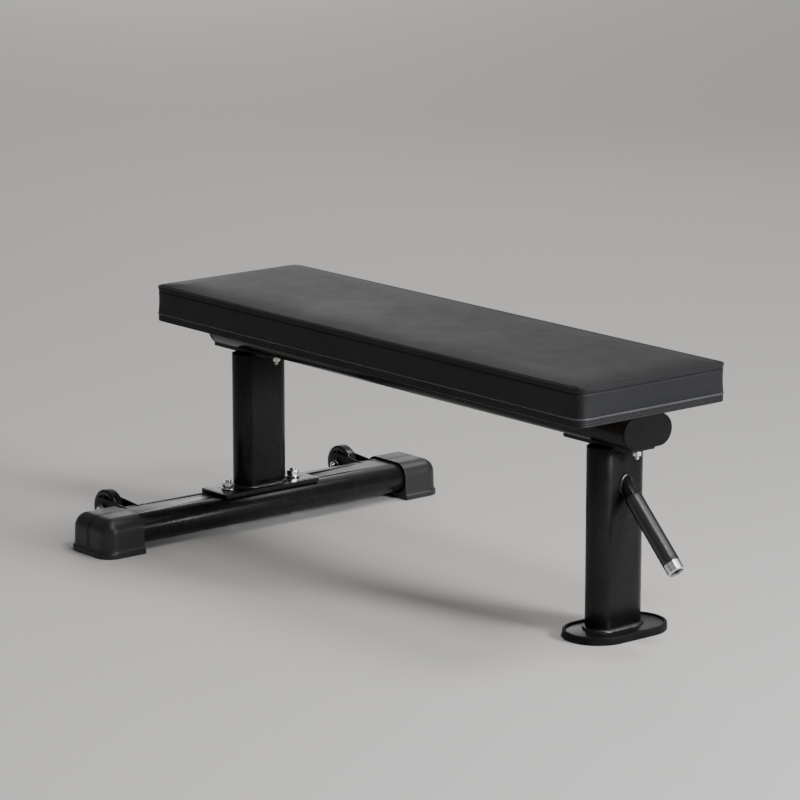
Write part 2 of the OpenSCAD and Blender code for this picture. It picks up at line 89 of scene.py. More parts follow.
makeCamera(cameraLook)

studioLook = {
    "floorColour": (0.64, 0.615, 0.585, 1),
    "floorRoughness": 0.72,
    "floorRadius": 15.0,
    "floorSides": 64,
    "floorDrop": 0.0002,         # so the soles don't lie in the floor's own plane
    "lampsAimAt": (0, 0, 0.25),
    "worldColour": (0.93, 0.95, 1.0, 1),
    "worldStrength": 0.19,
    "sunFrom": (0.25, 0.85, 1.6),
    "sunStrength": 1.16,
    "sunSpread": 24,             # degrees, so the shadow stays soft
}
# name: place, size, power in watts, colour
lightLook = {
    "endLight": ((3.9, 1.1, 1.6), 1.2, 190, (0.93, 0.96, 1.0)),
    "backLight": ((-2.6, 3.0, 2.4), 2.4, 11, (1.0, 0.99, 0.97)),
    "topLight": ((1.9, -0.1, 3.2), 1.0, 40, (1.0, 1.0, 1.0)),
    "lowSide": ((1.3, -3.9, 2.2), 0.45, 3.5, (0.95, 0.97, 1.0)),
    "lowBack": ((-8.9, 6.0, 2.3), 3.2, 55, (1.0, 1.0, 1.0)),
}


def linkObject(obj):
    bpy.context.scene.collection.objects.link(obj)
    return obj


def makeStudio(look, lights):
    sides, radius = look["floorSides"], look["floorRadius"]
    verts = [(radius * math.cos(2 * math.pi * i / sides), radius * math.sin(2 * math.pi * i / sides),
              -look["floorDrop"]) for i in range(sides)]
    mesh = bpy.data.meshes.new("studioFloor")
    mesh.from_pydata(verts, [], [tuple(range(sides))])
    floor = linkObject(bpy.data.objects.new("studioFloor", mesh))
    material = bpy.data.materials.new("studioFloor")
    material.use_nodes = True
    shader = material.node_tree.nodes["Principled BSDF"]
    shader.inputs["Base Color"].default_value = look["floorColour"]
    shader.inputs["Roughness"].default_value = look["floorRoughness"]
    mesh.materials.append(material)
    for name, (place, size, power, colour) in lights.items():
        data = bpy.data.lights.new(name, "AREA")
        data.shape = "DISK"
        data.size = size
        data.energy = power
        data.color = colour
        lamp = linkObject(bpy.data.objects.new(name, data))
        lamp.location = place
        lamp.visible_camera = False     # a lamp never stands in a view as a white disc
        aim = Vector(look["lampsAimAt"]) - lamp.location
        lamp.rotation_euler = aim.to_track_quat("-Z", "Y").to_euler()
    sun = bpy.data.lights.new("skyLight", "SUN")
    sun.energy = look["sunStrength"]
    sun.angle = math.radians(look["sunSpread"])
    lamp = linkObject(bpy.data.objects.new("skyLight", sun))
    lamp.rotation_euler = (-Vector(look["sunFrom"])).to_track_quat("-Z", "Y").to_euler()
    world = bpy.data.worlds.new("studioWorld")
    bpy.context.scene.world = world
    world.use_nodes = True
    background = world.node_tree.nodes["Background"]
    background.inputs["Color"].default_value = look["worldColour"]
    background.inputs["Strength"].default_value = look["worldStrength"]


makeStudio(studioLook, lightLook)
print("camera, floor and lights placed")


# A socket takes a number, a colour or another node's output.
def feed(tree, socket, value):
    if isinstance(value, bpy.types.NodeSocket):
        tree.links.new(value, socket)
    else:
        socket.default_value = value


def put(tree, kind, ins=None, **props):
    node = tree.nodes.new(kind)
    for key, value in props.items():
        setattr(node, key, value)
    for key, value in (ins or {}).items():
        feed(tree, node.inputs[key], value)
    return node


def maths(tree, operation, a, b=0.0, clamp=False):
    return put(tree, "ShaderNodeMath", {0: a, 1: b}, operation=operation, use_clamp=clamp).outputs[0]


def mapRange(tree, value, fromMin, fromMax, toMin, toMax):
    ins = {"Value": value, "From Min": fromMin, "From Max": fromMax, "To Min": toMin, "To Max": toMax}
    return put(tree, "ShaderNodeMapRange", ins).outputs["Result"]


def mixColour(tree, factor, a, b):
    return put(tree, "ShaderNodeMix", {0: factor, 6: a, 7: b}, data_type="RGBA").outputs[2]


def newGroup(name, inputs, outputs):
    tree = bpy.data.node_groups.new(name, "ShaderNodeTree")
    for label, kind, value in inputs:
        socket = tree.interface.new_socket(name=label, in_out="INPUT", socket_type=kind)
        if value is not None:
            socket.default_value = value
    for label in outputs:
        tree.interface.new_socket(name=label, in_out="OUTPUT", socket_type="NodeSocketFloat")
    start = tree.nodes.new("NodeGroupInput")
    end = tree.nodes.new("NodeGroupOutput")
    return tree, start.outputs, end.inputs


def makeLeatherGrain():
    tree, start, end = newGroup("leatherGrain", [("Vector", "NodeSocketVector", None),
                                                 ("Cells", "NodeSocketFloat", 900.0),
                                                 ("Crease", "NodeSocketFloat", 0.35)], ["Height", "Pores"])
    warp = put(tree, "ShaderNodeTexNoise", {"Vector": start["Vector"], "Scale": 220.0, "Detail": 3.0})
    bent = put(tree, "ShaderNodeMix", {0: 0.0012, 4: start["Vector"], 5: warp.outputs["Color"]},
               data_type="VECTOR")
    cells = put(tree, "ShaderNodeTexVoronoi", {"Vector": bent.outputs[1], "Scale": start["Cells"]},
                feature="DISTANCE_TO_EDGE")
    dome = mapRange(tree, cells.outputs["Distance"], 0.0, 0.28, 0.0, 1.0)
    fold = put(tree, "ShaderNodeTexNoise", {"Vector": start["Vector"], "Scale": 70.0, "Detail": 5.0})
    folded = maths(tree, "MULTIPLY", fold.outputs["Fac"], start["Crease"])
    tree.links.new(maths(tree, "ADD", dome, folded), end["Height"])
    tree.links.new(mapRange(tree, cells.outputs["Distance"], 0.0, 0.10, 1.0, 0.0), end["Pores"])
    return tree


def makeUnevenTone():
    tree, start, end = newGroup("unevenTone", [("Vector", "NodeSocketVector", None),
                                               ("Scale", "NodeSocketFloat", 6.0)], ["Tone"])
    wide = put(tree, "ShaderNodeTexNoise", {"Vector": start["Vector"], "Scale": start["Scale"],
                                            "Detail": 6.0, "Roughness": 0.62})
    near = maths(tree, "MULTIPLY", start["Scale"], 7.3)
    fine = put(tree, "ShaderNodeTexNoise", {"Vector": start["Vector"], "Scale": near, "Detail": 4.0})
    both = maths(tree, "ADD", maths(tree, "MULTIPLY", wide.outputs["Fac"], 0.7),
                 maths(tree, "MULTIPLY", fine.outputs["Fac"], 0.3))
    tree.links.new(mapRange(tree, both, 0.36, 0.64, 0.0, 1.0), end["Tone"])
    return tree


def makeEdgeRub():
    tree, start, end = newGroup("edgeRub", [("Vector", "NodeSocketVector", None),
                                            ("Amount", "NodeSocketFloat", 0.5)], ["Mask"])
    shape = put(tree, "ShaderNodeNewGeometry")
    edge = mapRange(tree, shape.outputs["Pointiness"], 0.52, 0.62, 0.0, 1.0)
    patchy = put(tree, "ShaderNodeTexNoise", {"Vector": start["Vector"], "Scale": 60.0, "Detail": 6.0})
    worn = maths(tree, "MULTIPLY", edge, mapRange(tree, patchy.outputs["Fac"], 0.45, 0.65, 0.0, 1.0))
    tree.links.new(maths(tree, "MULTIPLY", worn, start["Amount"], clamp=True), end["Mask"])
    return tree


def makeSettledDust():
    tree, start, end = newGroup("settledDust", [("Vector", "NodeSocketVector", None),
                                                ("Amount", "NodeSocketFloat", 0.2)], ["Mask"])
    shape = put(tree, "ShaderNodeNewGeometry")
    up = put(tree, "ShaderNodeSeparateXYZ", {0: shape.outputs["Normal"]}).outputs["Z"]
    facing = mapRange(tree, up, 0.35, 1.0, 0.0, 1.0)
    wide = put(tree, "ShaderNodeTexNoise", {"Vector": start["Vector"], "Scale": 9.0, "Detail": 8.0,
                                            "Roughness": 0.7})
    specks = put(tree, "ShaderNodeTexNoise", {"Vector": start["Vector"], "Scale": 420.0, "Detail": 2.0})
    cover = maths(tree, "MULTIPLY", mapRange(tree, wide.outputs["Fac"], 0.4, 0.75, 0.2, 1.0),
                  mapRange(tree, specks.outputs["Fac"], 0.42, 0.66, 0.35, 1.0))
    tree.links.new(maths(tree, "MULTIPLY", maths(tree, "MULTIPLY", facing, cover), start["Amount"], clamp=True),
                   end["Mask"])
    return tree


def makeSurfaceSkin():
    tree, start, end = newGroup("surfaceSkin", [("Vector", "NodeSocketVector", None),
                                                ("Scale", "NodeSocketFloat", 800.0),
                                                ("Waviness", "NodeSocketFloat", 0.3)], ["Height"])
    fine = put(tree, "ShaderNodeTexNoise", {"Vector": start["Vector"], "Scale": start["Scale"], "Detail": 2.0})
    slow = maths(tree, "MULTIPLY", start["Scale"], 0.11)
    wave = put(tree, "ShaderNodeTexNoise", {"Vector": start["Vector"], "Scale": slow, "Detail": 2.0})
    tree.links.new(maths(tree, "ADD", fine.outputs["Fac"], maths(tree, "MULTIPLY", wave.outputs["Fac"],
                                                                 start["Waviness"])), end["Height"])
    return tree


def makeFineScratches():
    tree, start, end = newGroup("fineScratches", [("Vector", "NodeSocketVector", None),
                                                  ("Stretch", "NodeSocketVector", (1.0, 1.0, 30.0)),
                                                  ("Scale", "NodeSocketFloat", 60.0)], ["Mask"])
    along = put(tree, "ShaderNodeVectorMath", {0: start["Vector"], 1: start["Stretch"]}, operation="MULTIPLY")
    lines = put(tree, "ShaderNodeTexNoise", {"Vector": along.outputs[0], "Scale": start["Scale"], "Detail": 8.0,
                                             "Roughness": 0.75})
    tree.links.new(mapRange(tree, lines.outputs["Fac"], 0.42, 0.62, 0.0, 1.0), end["Mask"])
    return tree


groups = {
    "leatherGrain": makeLeatherGrain(),
    "unevenTone": makeUnevenTone(),
    "edgeRub": makeEdgeRub(),
    "settledDust": makeSettledDust(),
    "surfaceSkin": makeSurfaceSkin(),
    "fineScratches": makeFineScratches(),
}


def effect(tree, name, ins):
    node = tree.nodes.new("ShaderNodeGroup")
    node.node_tree = groups[name]
    for key, value in ins.items():
        feed(tree, node.inputs[key], value)
    return node.outputs


def newMaterial(name, constants):
    material = bpy.data.materials.new(name)
    material.use_nodes = True
    tree = material.node_tree
    shader = tree.nodes["Principled BSDF"]
    for key, value in constants.items():
        shader.inputs[key].default_value = value
    where = put(tree, "ShaderNodeTexCoord").outputs["Object"]
    return material, tree, shader, where


def rgba(colour):
    return (*colour, 1.0)


def bumpFrom(tree, shader, height, depth):
    bump = put(tree, "ShaderNodeBump", {"Height": height, "Distance": depth, "Strength": 1.0})
    tree.links.new(bump.outputs["Normal"], shader.inputs["Normal"])


# Paint, plastic, rubber and plated metal: an even coat with tone, dust, rubbed edges and a fine skin.
def coatedFinish(name, look):
    constants = {"Specular IOR Level": look["specular"], "Metallic": look["metallic"]}
    material, tree, shader, where = newMaterial(name, constants)
    tone = effect(tree, "unevenTone", {"Vector": where, "Scale": look["toneScale"]})["Tone"]
    base = mixColour(tree, tone, rgba(look["darkColour"]), rgba(look["colour"]))
    rub = effect(tree, "edgeRub", {"Vector": where, "Amount": look["rub"]})["Mask"]
    base = mixColour(tree, rub, base, rgba(look["rubColour"]))
    dust = effect(tree, "settledDust", {"Vector": where, "Amount": look["dust"]})["Mask"]
    base = mixColour(tree, dust, base, rgba(look["dustColour"]))
    tree.links.new(base, shader.inputs["Base Color"])
    low, high = look["roughness"]
    rough = maths(tree, "ADD", mapRange(tree, tone, 0.0, 1.0, high, low), maths(tree, "MULTIPLY", dust, 0.5))
    tree.links.new(rough, shader.inputs["Roughness"])
    height = effect(tree, "surfaceSkin", {"Vector": where, "Scale": look["skinScale"],
                                          "Waviness": look["waviness"]})["Height"]
    bumpFrom(tree, shader, height, look["skinDepth"])
    return material


# what most coats share; a row of coatLook gives what differs
coatBasis = {
    "rub": 0.2, "rubColour": (0.1, 0.1, 0.1), "dust": 0.05, "dustColour": (0.3, 0.28, 0.25),
    "waviness": 0.5, "specular": 0.3, "metallic": 0.0,
}
coatLook = {
    "powderCoat": {    # frame
        "colour": (0.0062, 0.0062, 0.006), "darkColour": (0.0042, 0.0042, 0.0041), "toneScale": 5.0,
        "rub": 0.25, "rubColour": (0.05, 0.05, 0.05), "dust": 0.03, "roughness": (0.24, 0.32),
        "skinScale": 520.0, "waviness": 0.8, "skinDepth": 0.000022, "specular": 0.23,
    },
    "weldPaint": {    # weld beads under the same coat
        "colour": (0.007, 0.007, 0.007), "darkColour": (0.004, 0.004, 0.004), "toneScale": 30.0,
        "rub": 0.4, "rubColour": (0.12, 0.12, 0.12), "dust": 0.04, "roughness": (0.22, 0.34),
        "skinScale": 700.0, "waviness": 1.0, "skinDepth": 0.00008, "specular": 0.45,
    },
    "capPlastic": {    # beam end caps
        "colour": (0.008, 0.008, 0.0072), "darkColour": (0.0058, 0.0058, 0.0052), "toneScale": 9.0,
        "dust": 0.03, "roughness": (0.52, 0.62), "skinScale": 1500.0, "waviness": 0.3, "skinDepth": 0.0001,
        "specular": 0.1,
    },
    "trimPlastic": {    # edge strip of the pad
        "colour": (0.012, 0.012, 0.013), "darkColour": (0.008, 0.008, 0.0085), "toneScale": 12.0,
        "dust": 0.06, "roughness": (0.42, 0.55), "skinScale": 1200.0, "waviness": 0.3,
        "skinDepth": 0.00006,
    },
    "bootRubber": {    # boots of the cross tube
        "colour": (0.0145, 0.0149, 0.016), "darkColour": (0.009, 0.0093, 0.01), "toneScale": 14.0,
        "rub": 0.25, "rubColour": (0.11, 0.11, 0.11), "dust": 0.06, "dustColour": (0.27, 0.255, 0.23),
        "roughness": (0.34, 0.44), "skinScale": 900.0, "waviness": 0.4, "skinDepth": 0.00013,
        "specular": 0.5,
    },
    "footRubber": {    # front foot
        "colour": (0.0075, 0.0075, 0.0075), "darkColour": (0.0045, 0.0045, 0.0045), "toneScale": 14.0,
        "rubColour": (0.08, 0.08, 0.08), "dust": 0.08, "dustColour": (0.24, 0.225, 0.2),
        "roughness": (0.48, 0.62), "skinScale": 900.0, "waviness": 0.4, "skinDepth": 0.0001,
        "specular": 0.12,
    },
    "gripRubber": {    # handle grip
        "colour": (0.006, 0.006, 0.0065), "darkColour": (0.004, 0.004, 0.004), "toneScale": 25.0,
        "rubColour": (0.06, 0.06, 0.06), "dust": 0.02, "dustColour": (0.24, 0.225, 0.2),
        "roughness": (0.34, 0.41), "skinScale": 900.0, "skinDepth": 0.00001, "specular": 0.8,
    },
    "wheelPlastic": {    # transport wheels
        "colour": (0.007, 0.007, 0.0075), "darkColour": (0.004, 0.004, 0.0045), "toneScale": 30.0,
        "rub": 0.35, "rubColour": (0.09, 0.09, 0.09), "dustColour": (0.27, 0.255, 0.23),
        "roughness": (0.18, 0.32), "skinScale": 600.0, "waviness": 0.8, "skinDepth": 0.00004,
        "specular": 0.5,
    },
    "brightPlate": {    # base and axle bolts
        "colour": (0.8, 0.8, 0.8), "darkColour": (0.62, 0.62, 0.61), "toneScale": 60.0, "rub": 0.0,
        "dustColour": (0.4, 0.38, 0.34), "roughness": (0.1, 0.24), "skinScale": 1500.0, "waviness": 0.6,
        "skinDepth": 0.00002, "specular": 0.5, "metallic": 1.0,
    },
    "zincPlate": {    # small bolts
        "colour": (0.66, 0.65, 0.6), "darkColour": (0.48, 0.47, 0.43), "toneScale": 80.0, "rub": 0.0,
        "dustColour": (0.4, 0.38, 0.34), "roughness": (0.3, 0.46), "skinScale": 1600.0, "waviness": 0.6,
        "skinDepth": 0.00003, "specular": 0.5, "metallic": 1.0,
    },
    "bushBronze": {    # wheel bushes
        "colour": (0.55, 0.42, 0.22), "darkColour": (0.36, 0.27, 0.14), "toneScale": 90.0, "rub": 0.0,
        "dust": 0.0, "roughness": (0.35, 0.5), "skinScale": 2200.0, "waviness": 0.4, "skinDepth": 0.00004,
        "specular": 0.5, "metallic": 1.0,
    },
    "pipingVinyl": {    # piping cord
        "colour": (0.075, 0.077, 0.082), "darkColour": (0.05, 0.051, 0.055), "toneScale": 30.0, "rub": 0.0,
        "dust": 0.04, "dustColour": (0.3, 0.3, 0.3), "roughness": (0.24, 0.36), "skinScale": 1500.0,
        "skinDepth": 0.00005,
    },
    "seamThread": {    # stitches
        "colour": (0.006, 0.006, 0.0065), "darkColour": (0.003, 0.003, 0.003), "toneScale": 300.0,
        "rub": 0.0, "dustColour": (0.3, 0.3, 0.3), "roughness": (0.5, 0.65), "skinScale": 5000.0,
        "waviness": 0.2, "skinDepth": 0.00006,
    },
    "foamCore": {    # foam
        "colour": (0.62, 0.56, 0.4), "darkColour": (0.52, 0.46, 0.32), "toneScale": 30.0, "rub": 0.0,
        "dust": 0.0, "roughness": (0.85, 0.95), "skinScale": 1800.0, "skinDepth": 0.0004,
    },
}

vinylLook = {
    "colour": (0.0165, 0.0168, 0.018),
    "darkColour": (0.0125, 0.0128, 0.0138),
    "poreColour": (0.006, 0.006, 0.007),
    "roughness": (0.42, 0.50),
    "cells": 950.0,
    "grainDepth": 0.00009,
    "dust": 0.02,
    "dustColour": (0.32, 0.31, 0.29),
    "toneScale": 4.0,
    "crease": 0.4,
    "poreShade": 0.5,
    "poreRoughness": 0.12,
}


def vinylFinish(look):
    material, tree, shader, where = newMaterial("padVinyl", {"Specular IOR Level": 0.20})
    tone = effect(tree, "unevenTone", {"Vector": where, "Scale": look["toneScale"]})["Tone"]
    grain = effect(tree, "leatherGrain", {"Vector": where, "Cells": look["cells"], "Crease": look["crease"]})
    base = mixColour(tree, tone, rgba(look["darkColour"]), rgba(look["colour"]))
    pores = maths(tree, "MULTIPLY", grain["Pores"], look["poreShade"])
    base = mixColour(tree, pores, base, rgba(look["poreColour"]))
    dust = effect(tree, "settledDust", {"Vector": where, "Amount": look["dust"]})["Mask"]
    base = mixColour(tree, dust, base, rgba(look["dustColour"]))
    tree.links.new(base, shader.inputs["Base Color"])
    low, high = look["roughness"]
    rough = maths(tree, "ADD", mapRange(tree, tone, 0.0, 1.0, high, low),
                  maths(tree, "MULTIPLY", grain["Pores"], look["poreRoughness"]))
    tree.links.new(rough, shader.inputs["Roughness"])
    bumpFrom(tree, shader, grain["Height"], look["grainDepth"])
    return material


plyLook = {
    "face": (0.46, 0.31, 0.17),
    "faceDark": (0.30, 0.19, 0.10),
    "glueLine": (0.12, 0.07, 0.04),
    "layers": 7,
    "thickness": 0.015,
    "grainDepth": 0.0002,
}


def plywoodFinish(look):
    material, tree, shader, where = newMaterial("plywood", {})
    grain = effect(tree, "fineScratches", {"Vector": where, "Stretch": (1.0, 14.0, 4.0), "Scale": 14.0})["Mask"]
    base = mixColour(tree, grain, rgba(look["faceDark"]), rgba(look["face"]))
    height = put(tree, "ShaderNodeSeparateXYZ", {0: where}).outputs["Z"]
    layer = maths(tree, "FRACT", maths(tree, "MULTIPLY", height, look["layers"] / look["thickness"]))
    glue = mapRange(tree, layer, 0.88, 0.95, 0.0, 1.0)
    shape = put(tree, "ShaderNodeNewGeometry")
    up = put(tree, "ShaderNodeSeparateXYZ", {0: shape.outputs["Normal"]}).outputs["Z"]
    side = mapRange(tree, maths(tree, "ABSOLUTE", up), 0.4, 0.6, 1.0, 0.0)
    base = mixColour(tree, maths(tree, "MULTIPLY", glue, side), base, rgba(look["glueLine"]))
    tree.links.new(base, shader.inputs["Base Color"])
    tree.links.new(mapRange(tree, grain, 0.0, 1.0, 0.72, 0.58), shader.inputs["Roughness"])
    bumpFrom(tree, shader, grain, look["grainDepth"])
    return material


collarLook = {
    "colour": (0.80, 0.80, 0.81),
    "darkColour": (0.60, 0.60, 0.61),
    "roughness": (0.20, 0.36),
    "ringScale": 2600.0,
    "ringDepth": 0.00004,
    "angle": 45,            # degrees that the handle hangs below level
}


# Turned aluminium: fine rings round the handle's axis.
def turnedMetal(look):
    material, tree, shader, where = newMaterial("turnedAluminium", {"Metallic": 1.0})
    slant = math.sin(math.radians(look["angle"]))
    along = put(tree, "ShaderNodeVectorMath", {0: where, 1: (slant, 0.0, -slant)}, operation="DOT_PRODUCT")
    ins = {"W": along.outputs["Value"], "Scale": look["ringScale"], "Detail": 5.0}
    rings = put(tree, "ShaderNodeTexNoise", ins, noise_dimensions="1D").outputs["Fac"]
    base = mixColour(tree, rings, rgba(look["darkColour"]), rgba(look["colour"]))
    tree.links.new(base, shader.inputs["Base Color"])
    low, high = look["roughness"]
    tree.links.new(mapRange(tree, rings, 0.3, 0.7, low, high), shader.inputs["Roughness"])
    bumpFrom(tree, shader, rings, look["ringDepth"])
    return material


finishes = {name: coatedFinish(name, {**coatBasis, **look}) for name, look in coatLook.items()}
finishes["padVinyl"] = vinylFinish(vinylLook)
finishes["plywood"] = plywoodFinish(plyLook)
finishes["turnedAluminium"] = turnedMetal(collarLook)
slotFinish = {
    "vinyl": "padVinyl", "foam": "foamCore", "plywood": "plywood", "trim": "trimPlastic",
    "piping": "pipingVinyl",
    "cap": "capPlastic", "foot_rubber": "footRubber", "boot": "bootRubber", "grip": "gripRubber",
    "collar": "turnedAluminium", "wheel": "wheelPlastic", "bush": "bushBronze", "weld": "weldPaint",
    "chrome": "brightPlate", "zinc": "zincPlate", "powder_coat": "powderCoat",
}
slotOf = {row["node"]: row["material_slot"] for row in frame["record"]["subparts"]}
print("materials made:", len(finishes))


# A visible piece; its finish goes by its slot unless one is named, and it stands for the CAD node given.
def newPiece(name, part, slot, node=None, body="frame", finish=None):
    mesh = bpy.data.meshes.new(name)
    mesh.from_pydata([tuple(v) for v in part[0]], [], part[1])
    mesh.validate()
    piece = linkObject(bpy.data.objects.new(name, mesh))
    fixNormals(mesh)
    mesh.shade_smooth()
    mesh.materials.append(finishes[finish or slotFinish[slot]])
    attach(piece, body)
    if node:
        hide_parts(node)
    return piece


def fixNormals(mesh):
    bm = bmesh.new()
    bm.from_mesh(mesh)
    bmesh.ops.remove_doubles(bm, verts=bm.verts, dist=1e-6)
    bmesh.ops.recalc_face_normals(bm, faces=bm.faces)
    bm.to_mesh(mesh)
    bm.free()


# Quads between one ring of points and the next ring.
def ringFaces(start, after, count):
    faces = []
    for i in range(count):
        j = (i + 1) % count
        faces.append((start + i, start + j, after + j, after + i))
    return faces


# A skin through rings with the same number of points: capped at both ends, or with the last ring
# joined to the first.
def solidOf(rings, looped=False):
    count, last = len(rings[0]), (len(rings) - 1) * len(rings[0])
    verts = [p for ring in rings for p in ring]
    faces = []
    for start in range(0, last, count):
        faces += ringFaces(start, start + count, count)
    if looped:
        faces += ringFaces(last, 0, count)
    else:
        faces += [tuple(range(count))[::-1], tuple(last + i for i in range(count))]
    return verts, faces


# Points along an arc from the angle a0 to a1, without the last one.
def arcPoints(centre, radius, a0, a1, steps):
    points = []
    for i in range(steps):
        a = a0 + (a1 - a0) * i / steps
        points.append((centre[0] + radius * math.cos(a), centre[1] + radius * math.sin(a)))
    return points


def bevelNode(name, width, segments=3, angle=40):
    piece = nodes[name]
    weld = piece.modifiers.new("weld", "WELD")
    weld.merge_threshold = 1e-6
    bevel = piece.modifiers.new("bevel", "BEVEL")
    bevel.width = width
    bevel.segments = segments
    bevel.limit_method = "ANGLE"
    bevel.angle_limit = math.radians(angle)


def smoothByAngle(piece, degrees=35):
    bm = bmesh.new()
    bm.from_mesh(piece.data)
    limit = math.radians(degrees)
    for edge in bm.edges:
        if len(edge.link_faces) == 2:
            edge.smooth = edge.calc_face_angle(0.0) < limit
    for face in bm.faces:
        face.smooth = True
    bm.to_mesh(piece.data)
    bm.free()


# every CAD node gets its finish; the listed steel pieces, tubes and board get small edge rounds at the end
for name, obj in nodes.items():
    obj.data.materials.clear()
    obj.data.materials.append(finishes[slotFinish[slotOf[name]]])
print("finishes set on the CAD nodes")

padShape = {
    "cornerRadius": 0.018,
    "cell": 0.006,            # size of a mesh cell on the flat
    "cornerSteps": 12,
    "crownStart": 0.0035,     # crown before it is inflated
    "bandTuck": 0.0012,       # how far the band starts inside its outline
    "seamDrop": 0.006,        # height of the seam below the top of the pad
    "swellTop": 0.0050,
    "swellSide": 0.0022,
    "ceiling": 0.002,         # the crown stays below this height over the CAD pad
    # heights up the side band and steps in from the edge at which the mesh has a ring
    "bandHeights": (0.0, 0.0015, 0.0035, 0.006, 0.010, 0.015, 0.020, 0.026, 0.0315, 0.0355, 0.0366, 0.0375,
                    0.0384, 0.0398, 0.042, 0.044),
    "edgeInsets": (0.0, 0.0010, 0.0022, 0.0033, 0.0042, 0.0051, 0.0070, 0.0095, 0.0125, 0.0155),
}
clothLook = {
    "frames": 20,
    "pressure": 4.0,
    "quality": 6,
    "mass": 0.35,
    "stretch": 22,
    "shear": 12,
    "bending": 0.9,
    "airDamping": 3,
}


# Points round the pad's outline, moved in by inset, the same number for every inset.
# Each has x, y and its outward direction.
def outlinePoints(inset, shape, halfLong, halfWide, radius):
    flatX, flatY = halfLong - radius, halfWide - radius
    nx, ny = max(2, round(2 * flatX / shape["cell"])), max(2, round(2 * flatY / shape["cell"]))
    r = radius - inset
    points = []

    def side(start, end, count, direction):
        for i in range(count):
            t = i / count
            points.append((start[0] + (end[0] - start[0]) * t, start[1] + (end[1] - start[1]) * t, *direction))

    def corner(cx, cy, a0):
        steps = shape["cornerSteps"]
        for i in range(steps):
            a = a0 + math.pi / 2 * i / steps
            points.append((cx + r * math.cos(a), cy + r * math.sin(a), math.cos(a), math.sin(a)))

    side((flatX + r, -flatY), (flatX + r, flatY), ny, (1, 0))
    corner(flatX, flatY, 0)
    side((flatX, flatY + r), (-flatX, flatY + r), nx, (0, 1))
    corner(-flatX, flatY, math.pi / 2)
    side((-flatX - r, flatY), (-flatX - r, -flatY), ny, (-1, 0))
    corner(-flatX, -flatY, math.pi)
    side((-flatX, -flatY - r), (flatX, -flatY - r), nx, (0, -1))
    corner(flatX, -flatY, 3 * math.pi / 2)
    return np.array(points), nx, ny


# The cover before inflation: a flat top on a grid, rings round its edge, and a side band down to the piping.
def padStartMesh(shape):
    halfLong, halfWide = (padHigh[0] - padLow[0]) / 2, (padHigh[1] - padLow[1]) / 2
    radius = shape["cornerRadius"]
    seamZ = padHigh[2] - shape["seamDrop"]
    baseZ = padLow[2]
    rings = []
    kinds = []
    bandHeight = seamZ - baseZ
    for h in shape["bandHeights"]:
        tuck = shape["bandTuck"] * math.sin(math.pi * h / bandHeight)
        points, nx, ny = outlinePoints(tuck, shape, halfLong, halfWide, radius)
        rings.append(np.column_stack([points[:, :2], np.full(len(points), baseZ + h)]))
        kinds.append("pin" if h == 0.0 else "free")
    for d in shape["edgeInsets"]:
        points, nx, ny = outlinePoints(d, shape, halfLong, halfWide, radius)
        rise = shape["crownStart"] * math.sqrt(max(0.0, 1 - (1 - d / radius) ** 2))
        rings.append(np.column_stack([points[:, :2], np.full(len(points), seamZ + rise)]))
        kinds.append("pin" if d == 0.0 else "free")
    count = len(rings[0])
    verts = [tuple(p) for ring in rings for p in ring]
    faces = []
    for k in range(len(rings) - 1):
        faces += ringFaces(k * count, (k + 1) * count, count)
    # the flat middle
    flatX, flatY = halfLong - radius, halfWide - radius
    topZ = seamZ + shape["crownStart"]
    gridStart = len(verts)
    for i in range(nx + 1):
        for j in range(ny + 1):
            verts.append((-flatX + 2 * flatX * i / nx, -flatY + 2 * flatY * j / ny, topZ))

    def grid(i, j):
        return gridStart + i * (ny + 1) + j

    for i in range(nx):
        for j in range(ny):
            faces.append((grid(i, j), grid(i + 1, j), grid(i + 1, j + 1), grid(i, j + 1)))
    # join the last ring to the grid's border, point by point, with a fan at each corner
    steps = shape["cornerSteps"]
    border = [grid(nx, j) for j in range(ny)] + [grid(nx, ny)] * steps
    border += [grid(nx - i, ny) for i in range(nx)] + [grid(0, ny)] * steps
    border += [grid(0, ny - j) for j in range(ny)] + [grid(0, 0)] * steps
    border += [grid(i, 0) for i in range(nx)] + [grid(nx, 0)] * steps
    last = (len(rings) - 1) * count
    for i in range(count):
        j = (i + 1) % count
        corner = [last + i, last + j, border[j], border[i]]
        if border[i] == border[j]:
            corner = corner[:3]
        faces.append(tuple(corner))
    pins = [k * count + i for k, kind in enumerate(kinds) if kind == "pin" for i in range(count)]
    verts = [(x + padMid[0], y + padMid[1], z) for x, y, z in verts]
    return verts, faces, pins, seamZ


# Cloth under pressure between its sewn edges; makePad then eases each point's travel off at a limit.
def inflate(piece, pins, look):
    start = np.array([v.co for v in piece.data.vertices])
    group = piece.vertex_groups.new(name="sewn")
    group.add(pins, 1.0, "REPLACE")
    cloth = piece.modifiers.new("cloth", "CLOTH")
    settings = cloth.settings
    settings.quality = look["quality"]
    settings.mass = look["mass"]
    settings.tension_stiffness = settings.compression_stiffness = look["stretch"]
    settings.shear_stiffness = look["shear"]
    settings.bending_stiffness = look["bending"]
    settings.air_damping = look["airDamping"]
    settings.use_pressure = True
    settings.uniform_pressure_force = look["pressure"]
    settings.vertex_group_mass = "sewn"
    settings.pin_stiffness = 1.0
    settings.effector_weights.gravity = 0
    cloth.collision_settings.use_collision = False
    cloth.collision_settings.use_self_collision = False
    scene = bpy.context.scene
    scene.frame_start = cloth.point_cache.frame_start = 1
    scene.frame_end = cloth.point_cache.frame_end = look["frames"]
    for step in range(1, look["frames"] + 1):
        scene.frame_set(step)
    shown = piece.evaluated_get(bpy.context.evaluated_depsgraph_get())
    blown = np.array([v.co for v in shown.data.vertices])
    piece.modifiers.remove(cloth)
    scene.frame_set(1)
    return start, blown


